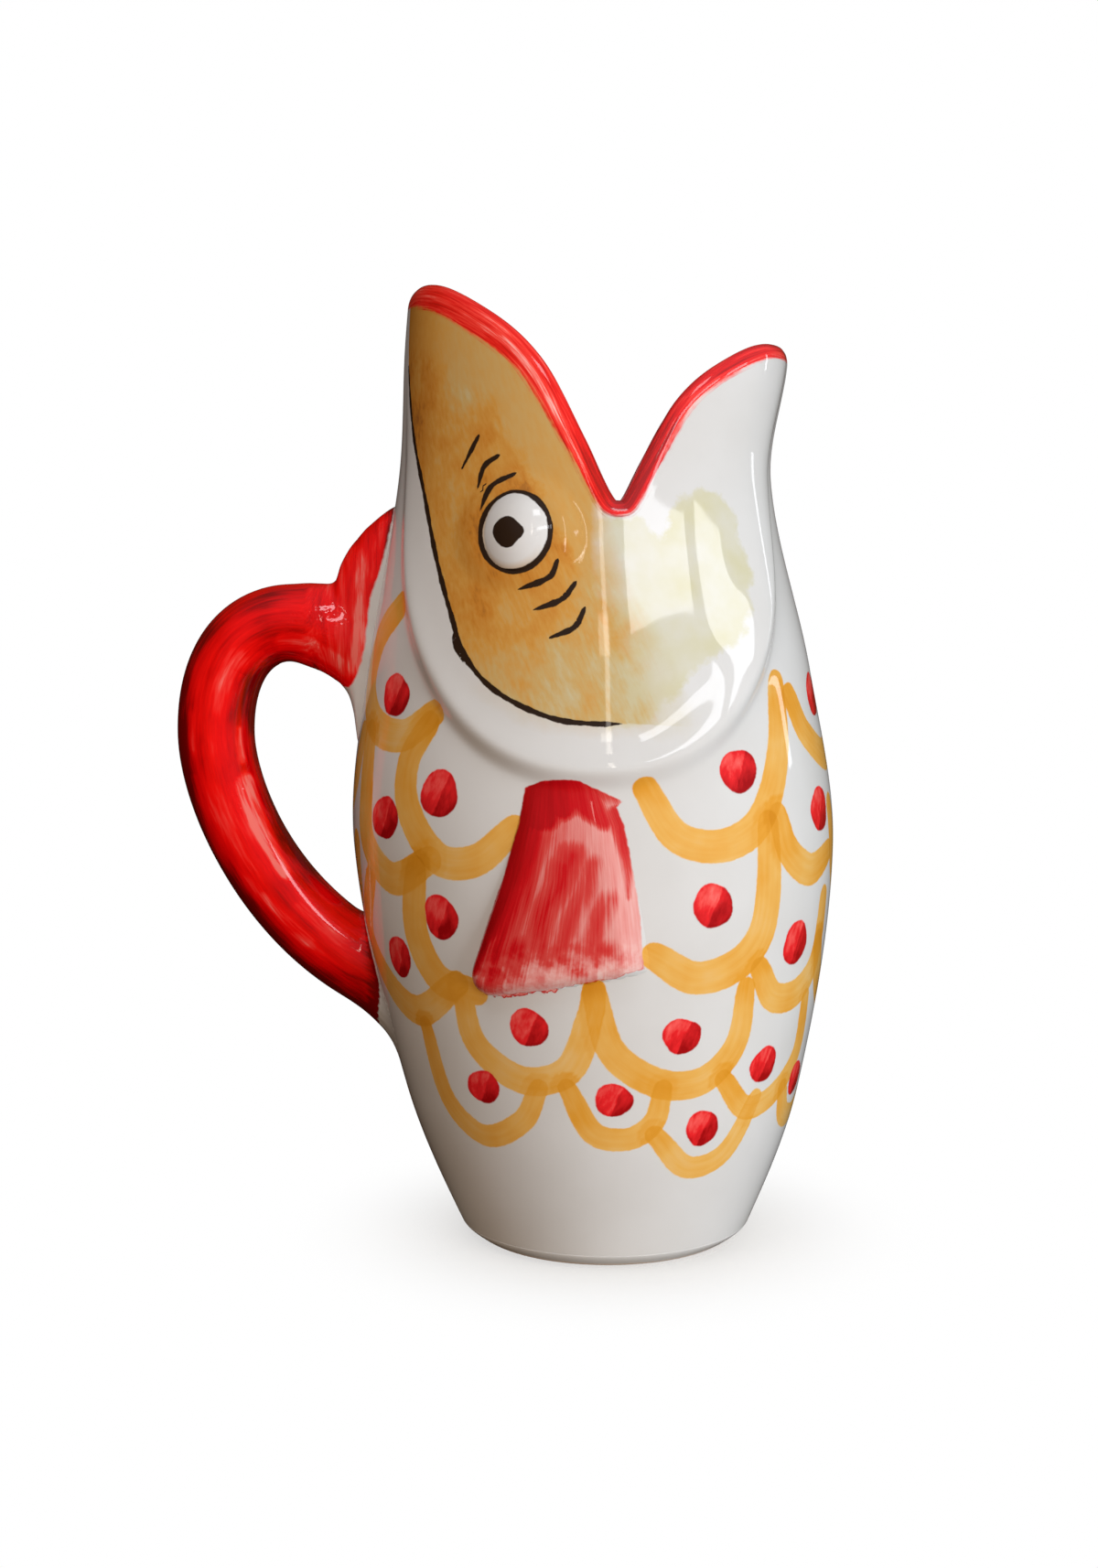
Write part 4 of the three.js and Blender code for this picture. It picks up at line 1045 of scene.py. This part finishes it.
def tail_tube(way, at, across, inward):
    """Rings of the stalk, and which way is out of it. Towards the nape they open to the lobes, a plate across
    the stalk's end, and slip fills the corners between the two."""
    x = way[:, 0]
    along = unit(np.gradient(way, axis=0))
    forward = unit(mix(along, np.array([1.0, 0]), towards_nape(at, x, *RINGS_UPRIGHT)))
    slope = 1 / np.maximum((along * forward).sum(1, keepdims=True), 0.7)
    flare = TAIL_FLARE * (1 - smooth(at / TAIL_FLARE_LENGTH))[:, None]
    rounded = np.clip((x + STALK_ROUNDS) / STALK_ROUND_LENGTH, 0, 0.8)
    nose = np.where(at > TAIL_UPPER, np.sqrt(1 - rounded ** 2), 1)[:, None]
    stalk = nose / np.hypot(across / (TAIL_HALF_WIDTH + flare), inward / (TAIL_HALF_DEPTH + flare) / slope)
    high, low = (through(TAIL_FIN_EDGES[:, (0, k)], np.clip(-x, 57, 100)) for k in (1, 2))
    tall = np.maximum(np.where(inward > 0, (way[:, 1] - low)[:, None], (high - way[:, 1])[:, None]), 1)
    square = np.where(inward > 0, LOWER_LOBE_SQUARE, UPPER_LOBE_SQUARE)
    plate = ((np.abs(across) / TAIL_LOBE_HALF) ** square + (np.abs(inward) / tall) ** square) ** (-1 / square)
    opened = towards_nape(at, x, *LOBES_OPEN)
    slip = mix(0.5, 4.0, opened)
    joined = np.maximum(stalk, plate) + np.maximum(slip - np.abs(stalk - plate), 0) ** 2 / (4 * slip)
    far = mix(stalk, joined, opened)
    plane = np.stack([forward[:, 1], -forward[:, 0]], -1)[:, None]
    section = np.stack([plane[..., 0] * far * inward, far * across, plane[..., 1] * far * inward], -1)
    return np.stack([x, 0 * at, way[:, 1]], -1)[:, None] + section, unit(section)


def lute_to_belly(tube, out, at, below):
    """The tube with slip in the corner at its lower end, which runs off the stalk on to the belly, furthest
    below. Also gives how far past the joint each point lies."""
    backward = np.array([-1.0, 0, 0])
    fillet = mix(SLIP_ABOVE, SLIP_BELOW, below)
    clear = back_skin(tube[..., 1], tube[..., 2]) - tube[..., 0]
    first, column = (clear > 0).argmax(0), np.arange(STALK_SIDES)
    start = tube[first, column]
    past = at[:, None] - at[first]
    close = np.clip(1 - clear / fillet, 0, 1)[..., None]
    on_stalk = tube + (fillet / 4)[:, None] * close ** 2 * unit(mix(out, backward, 0.5 * close))
    spread = np.clip(-past / fillet, 0, 1)
    flat = unit(out[first, column][:, 1:])
    y, z = (start[:, 1 + k] + flat[:, k] * fillet * spread for k in (0, 1))
    rise = fillet / 4 * (1 - spread) ** 2 - np.clip((-past - fillet) * 0.5, 0, TAIL_SUNK)
    on_belly = np.stack([back_skin(y, z), y, z], -1)
    on_belly = on_belly + rise[..., None] * unit(mix(backward, out, 0.5 * (1 - spread)[..., None]))
    lower = (at < TAIL_LOWER)[:, None, None]
    rings = np.where(lower & (past < 0)[..., None], on_belly, np.where(lower, on_stalk, tube))
    rings[..., 0] = np.minimum(rings[..., 0], back_skin(rings[..., 1], rings[..., 2]) + TAIL_SUNK)
    return rings, past


def thin_passes(places, passes, soft):
    """How bare the pale passes leave flat places. Most went on thin; two on the tail's lower bow are a
    painted reflection of the belly.
    """
    bared = [bare * smooth(inside_pass(places, stroke, half_start, half_end) / soft + 0.5)
             for half_start, half_end, bare, stroke in passes]
    return np.max(bared, axis=0)


def tail_rings():
    """The whole tail as rings from inside the belly's wall to inside the nape's, and the paint at each point:
    its place along and across the brush's way, how far it lies inside the red's edge, and how pale it is,
    from thin passes and from a painted reflection of the belly."""
    way, at = tail_way()
    turn = full_turn(STALK_SIDES)
    inward = np.sin(turn)
    below = smooth(-inward)
    tube, out = tail_tube(way, at, np.cos(turn), inward)
    rings, past = lute_to_belly(tube, out, at, below)
    x, y, z = np.moveaxis(rings, -1, 0)
    to_nape = back_skin(y, z) - x - read_off(NAPE_BARE, z)
    red = np.minimum(to_nape, z - LOWEST_RED)
    red = np.where((at < TAIL_UPPER)[:, None], 20, red)
    red = np.where((at < TAIL_LOWER)[:, None], past + mix(1.6, 0.2, below), red)
    # Near the nape the brush went up and down instead of along the stalk
    turned = towards_nape(at, way[:, 0], *BRUSH_TURNS)
    round_stalk = turn * TAIL_HALF_DEPTH
    along = mix(at[:, None], 1.2 * z, turned)
    around = mix(round_stalk, 1.6 * x + 160 + 0.2 * inward, turned)
    on_stalk = np.stack(np.broadcast_arrays(at[:, None], round_stalk, 0), -1).reshape(-1, 3)
    on_lobes = np.stack([x, z, 0 * z], -1).reshape(-1, 3)
    thin = np.maximum(thin_passes(on_stalk, TAIL_THIN_AND_REFLECTION, 1.6), thin_passes(on_lobes, LOBE_THIN, 2.4))
    return rings, np.stack([along, around, red], -1), thin.reshape(red.shape), way[:, 0]


def make_tail():
    """The stalk and the lobes are cut from the same rings. The stalk's round end goes on inside the lobes."""
    rings, paint, thin, x = tail_rings()
    normals = ring_normals(rings)
    cut = len(x) - (x[::-1] < -TAIL_FIN_BACK).argmax()
    inside = x[cut:] - x[cut]
    middle = rings[cut].mean(0)
    core = rings[cut] - middle
    shrink = np.sqrt(np.clip(1 - (inside / STALK_END) ** 2, 0.04, 1))[:, None, None]
    centre = rings[cut:].mean(1, keepdims=True) * (1, 0, 0) + middle * (0, 1, 1)
    end = (centre + core * (0, 0.9, 0.9) * shrink)[inside < STALK_END - 1]
    points, faces = capped(np.concatenate([rings[:cut + 1], end]))
    turned = np.concatenate([normals[:cut + 1], np.broadcast_to(unit(core), end.shape)]).reshape(-1, 3)
    stalk = np.concatenate([paint[:cut + 1], np.broadcast_to(paint[cut], end.shape)]).reshape(-1, 3)
    make_piece("tail_stalk", "tail_handle", "tail_red", tail_red, points, faces,
               np.concatenate([turned, [[1, 0, 0], [1, 0, 0]]]),
               stalk=np.concatenate([stalk, stalk[[0, -1]]]), pitted=pitted(points),
               thin=np.concatenate([thin[:cut + 1].ravel(), np.zeros(end[..., 0].size + 2)]))
    points, faces = capped(rings[cut:])
    lobes = paint[cut:].reshape(-1, 3)
    make_piece("tail_lobes", "tail_fin", "tail_red", tail_red, points, faces,
               np.concatenate([normals[cut:].reshape(-1, 3), [[-1, 0, 0], [1, 0, 0]]]),
               stalk=np.concatenate([lobes, lobes[[0, -1]]]), pitted=pitted(points),
               thin=np.concatenate([thin[cut:].ravel(), [0, 0]]))


# Fins, eyes and foot

def make_pectoral_fin(side, label):
    """A pad that grows thicker towards its hem, moulded flush at the top and soft at its front edge."""
    z = np.linspace(FIN_TOP, FIN_BOTTOM, 90)
    share = np.linspace(0, 1, 81)
    rear, front = through(FIN_REAR, z)[:, None], through(FIN_FRONT, z)[:, None]
    bearing = mix(rear, front, share)
    wide = (rear - front) * FIN_ARC
    round_rear = np.sqrt(1 - (1 - np.clip(share * wide / FIN_ROUND, 0, 1)) ** 2)
    soft_front = smooth((1 - share) * wide / FIN_FRONT_SOFT)
    down = np.clip((FIN_TOP - z) / (FIN_TOP - FIN_FULL), 0, 1)[:, None]
    plateau = mix(FIN_ROOT, FIN_HEM_THICKNESS, down ** 1.25)
    corner = FIN_CORNER * np.clip(1 - share / FIN_CORNER_SHARE, 0, 1) ** 2
    bottom = FIN_BOTTOM + 1 + FIN_HEM_RISE * share + corner
    hem = np.sqrt(1 - (1 - np.clip((z[:, None] - bottom) / FIN_ROUND, 0, 1)) ** 2)
    heights = np.broadcast_to(z[:, None], bearing.shape)
    upper = skin(side * bearing, heights, plateau * hem * round_rear * soft_front - FIN_SUNK)
    under = skin(side * bearing, heights, -FIN_UNDER)
    points, faces = capped(np.concatenate([upper, under[:, ::-1]], 1))
    paint = {}
    for layer, values in paint_layers(side * bearing.ravel(), heights.ravel()).items():
        sheet = values.reshape(*bearing.shape, *values.shape[1:])
        both = np.concatenate([sheet, sheet[:, ::-1]], 1)
        paint[layer] = np.concatenate([both.reshape(-1, *values.shape[1:]), sheet[0, :1], sheet[-1, :1]])
    make_piece(f"painted_fin_{label}", f"pectoral_fin_{label}", "fin_red", painted, points,
               outward(points, faces), lip=np.tile(OFF_BRUSH, (len(points), 1)), **paint)


def bearing_of(points):
    """Bearings and heights of the places on the skin nearest to points."""
    z = points[..., 2]
    back, front = reach(BACK, z), reach(FRONT, z)
    x = (points[..., 0] - (front - back) / 2) / ((front + back) / 2)
    return np.degrees(np.arctan2(points[..., 1] / reach(SIDE, z), x)), z


def outward(points, faces):
    """Faces turned so that they look out of the body they close."""
    first, second, third = (points[[face[k] for face in faces]] for k in range(3))
    volume = (first * np.cross(second, third)).sum()
    return faces if volume > 0 else [face[::-1] for face in faces]


def make_eye(side, label):
    """A low dome whose edge lies under the middle of the ink ring."""
    turn = full_turn(96)
    ring = 1 / np.hypot(np.cos(turn) / EYE_HALF_WIDTH, np.sin(turn) / EYE_HALF_HEIGHT)
    share = np.concatenate([np.linspace(0.02, 1, 34), [0.97]])[:, None]
    height = EYE_CROWN * np.maximum(1 - share ** 2, 0) ** 0.85 - EYE_SUNK
    height[-1] = -EYE_UNDER
    place = side * EYE_PLACE[0], EYE_PLACE[1]
    right, up = tangent(*place)
    u, v = share * ring * np.cos(turn), share * ring * np.sin(turn)
    flat = skin(*place) + u[..., None] * right + v[..., None] * up
    rings = skin(*bearing_of(flat)) + height[..., None] * skin_normal(*place)
    points, faces = capped(rings)
    make_piece(f"eye_dome_{label}", f"eye_{label}", "white_glaze", painted, points, outward(points, faces),
               lip=np.tile(OFF_BRUSH, (len(points), 1)), **paint_layers(*bearing_of(points)))


def make_foot():
    """The foot's disc, with the small round that wiping leaves at its edge."""
    z = np.concatenate([[0, 0, 0.05, 0.2, 0.5, 0.9], np.linspace(1.4, HEEL_HEIGHT, 9), [HEEL_HEIGHT]])
    radius = reach(SIDE, z) - np.array([4, 1.0, 0.6, 0.3, 0.1, 0] + [0] * 9 + [3])
    turn = full_turn(180)
    x, y = radius[:, None] * np.cos(turn), radius[:, None] * np.sin(turn)
    points, faces = capped(np.stack([x, y, np.broadcast_to(z[:, None], x.shape)], -1))
    make_piece("wiped_foot", "foot", "bare_clay", foot_clay, points, faces)


make_body_and_rim()
make_tail()
for side, label in ((RIGHT, "right"), (LEFT, "left")):
    make_pectoral_fin(side, label)
    make_eye(side, label)
make_foot()


# Camera, light and floor, in metres

PAPER_RADIUS, PAPER_SIDES = 2.0, 96
PAPER_FADE = (-0.05, 0.105)  # where the floor's fade begins and ends; it is part way gone under the foot
HEAD_AIM, BODY_AIM = (0, -0.03, 0.2), (0, 0, 0.16)


def make_camera():
    data = bpy.data.cameras.new("camera")
    data.lens, data.sensor_width = 52.8, 36
    camera = bpy.data.objects.new("camera", data)
    camera.location = (0, -0.680, 0.215)
    camera.rotation_euler = (math.radians(83.3), 0, math.radians(1.432))
    bpy.context.scene.collection.objects.link(camera)
    bpy.context.scene.camera = camera


def make_light(name, place, wide, high, watts, tint, aim=BODY_AIM, mirrored=True):
    """A soft light. One that is not mirrored shades the jug without a reflection in its glaze."""
    data = bpy.data.lights.new(name, "AREA")
    data.shape, data.size, data.size_y = "RECTANGLE", wide, high
    data.energy, data.color = watts, linear(tint)[:3]
    lamp = bpy.data.objects.new(name, data)
    lamp.location = place
    lamp.visible_glossy = mirrored
    way = np.array(aim) - np.array(place)
    lamp.rotation_euler = (math.atan2(math.hypot(way[0], way[1]), -way[2]), 0, math.atan2(-way[0], way[1]))
    bpy.context.scene.collection.objects.link(lamp)


def make_floor():
    """Matt pale paper that fades into the backdrop away from the jug. It gives the eye a soft shadow."""
    turn = full_turn(PAPER_SIDES)
    edge = PAPER_RADIUS * np.stack([np.cos(turn), np.sin(turn), 0 * turn], -1)
    mesh = bpy.data.meshes.new("floor")
    triangles = [(i, (i + 1) % PAPER_SIDES, PAPER_SIDES) for i in range(PAPER_SIDES)]
    mesh.from_pydata([*edge.tolist(), (0, 0, 0)], [], triangles)
    material, tree, shader, n = new_finish("matt_paper_floor", Roughness=0.9)
    place = n("TexCoord", out=3)
    grain = n("TexNoise", {"Vector": place, "Scale": per(0.7), "Detail": 2.0})
    tree.links.new(n("ValToRGB", grain, stops=PAPERS), shader.inputs["Base Color"])
    far = n("VectorMath", place, out=1, operation="LENGTH")
    fade = n("MapRange", far, *PAPER_FADE, 1.0, 0.0, interpolation_type="SMOOTHERSTEP")
    tree.links.new(fade, shader.inputs["Alpha"])
    mesh.materials.append(material)
    floor = bpy.data.objects.new("floor", mesh)
    bpy.context.scene.collection.objects.link(floor)


def make_studio():
    """A room with daylight from the front, the right and above, dim and warm to the left and below. The
    camera sees a plain white backdrop."""
    world = bpy.data.worlds.new("studio")
    bpy.context.scene.world = world
    world.use_nodes = True
    n = partial(add, world.node_tree)
    world.node_tree.nodes.clear()
    way = n("VectorMath", n("TexCoord", out=0), (0.5, -0.4, 0.77), out=1, operation="DOT_PRODUCT")
    walls = n("ValToRGB", n("MapRange", way, -0.6, 0.9), stops=ROOM)
    room = n("Background", walls, 1.0)
    backdrop = n("Background", linear("#ffffff"), 1.0)
    shown = n("MixShader", n("LightPath", out=0), room, backdrop)
    n("OutputWorld", shown, out=None)


make_camera()
make_studio()
make_light("window_pane_front", (0.535, -0.792, 0.601), 0.54, 0.082, 0.72, "#f6f9ff", HEAD_AIM)
make_light("window_pane_side", (0.855, -0.435, 0.573), 0.26, 0.102, 0.43, "#f6f9ff", HEAD_AIM)
make_light("curtain_gap", (0.129, -0.948, 0.575), 0.032, 0.28, 0.115, "#fff6ea", HEAD_AIM)
make_light("curtain_fold", (0.114, -0.944, 0.530), 0.075, 0.055, 0.045, "#fff6ea", HEAD_AIM)
make_light("doorway", (0.97, 0.22, 0.42), 0.06, 0.34, 0.30, "#f6f9ff", (0, 0, 0.23))
make_light("high_window", (0.30, -0.80, 1.05), 0.30, 0.20, 1.0, "#f4f8ff", (0, 0, 0.2))
make_light("bright_wall", (1.06, -0.84, -0.06), 0.9, 0.5, 16.7, "#f3f8ff", mirrored=False)
make_light("ceiling", (-0.35, -0.5, 1.3), 0.7, 0.7, 6.8, "#eef5ff", mirrored=False)
make_light("back_wall", (0.15, 1.3, 0.35), 0.9, 0.6, 9.0, "#f3f8ff", mirrored=False)
make_light("lamp_glow", (-0.35, -1.05, 0.12), 0.7, 0.7, 3.6, "#ffe0c6", mirrored=False)
make_floor()
bpy.context.scene.view_settings.view_transform = "Standard"
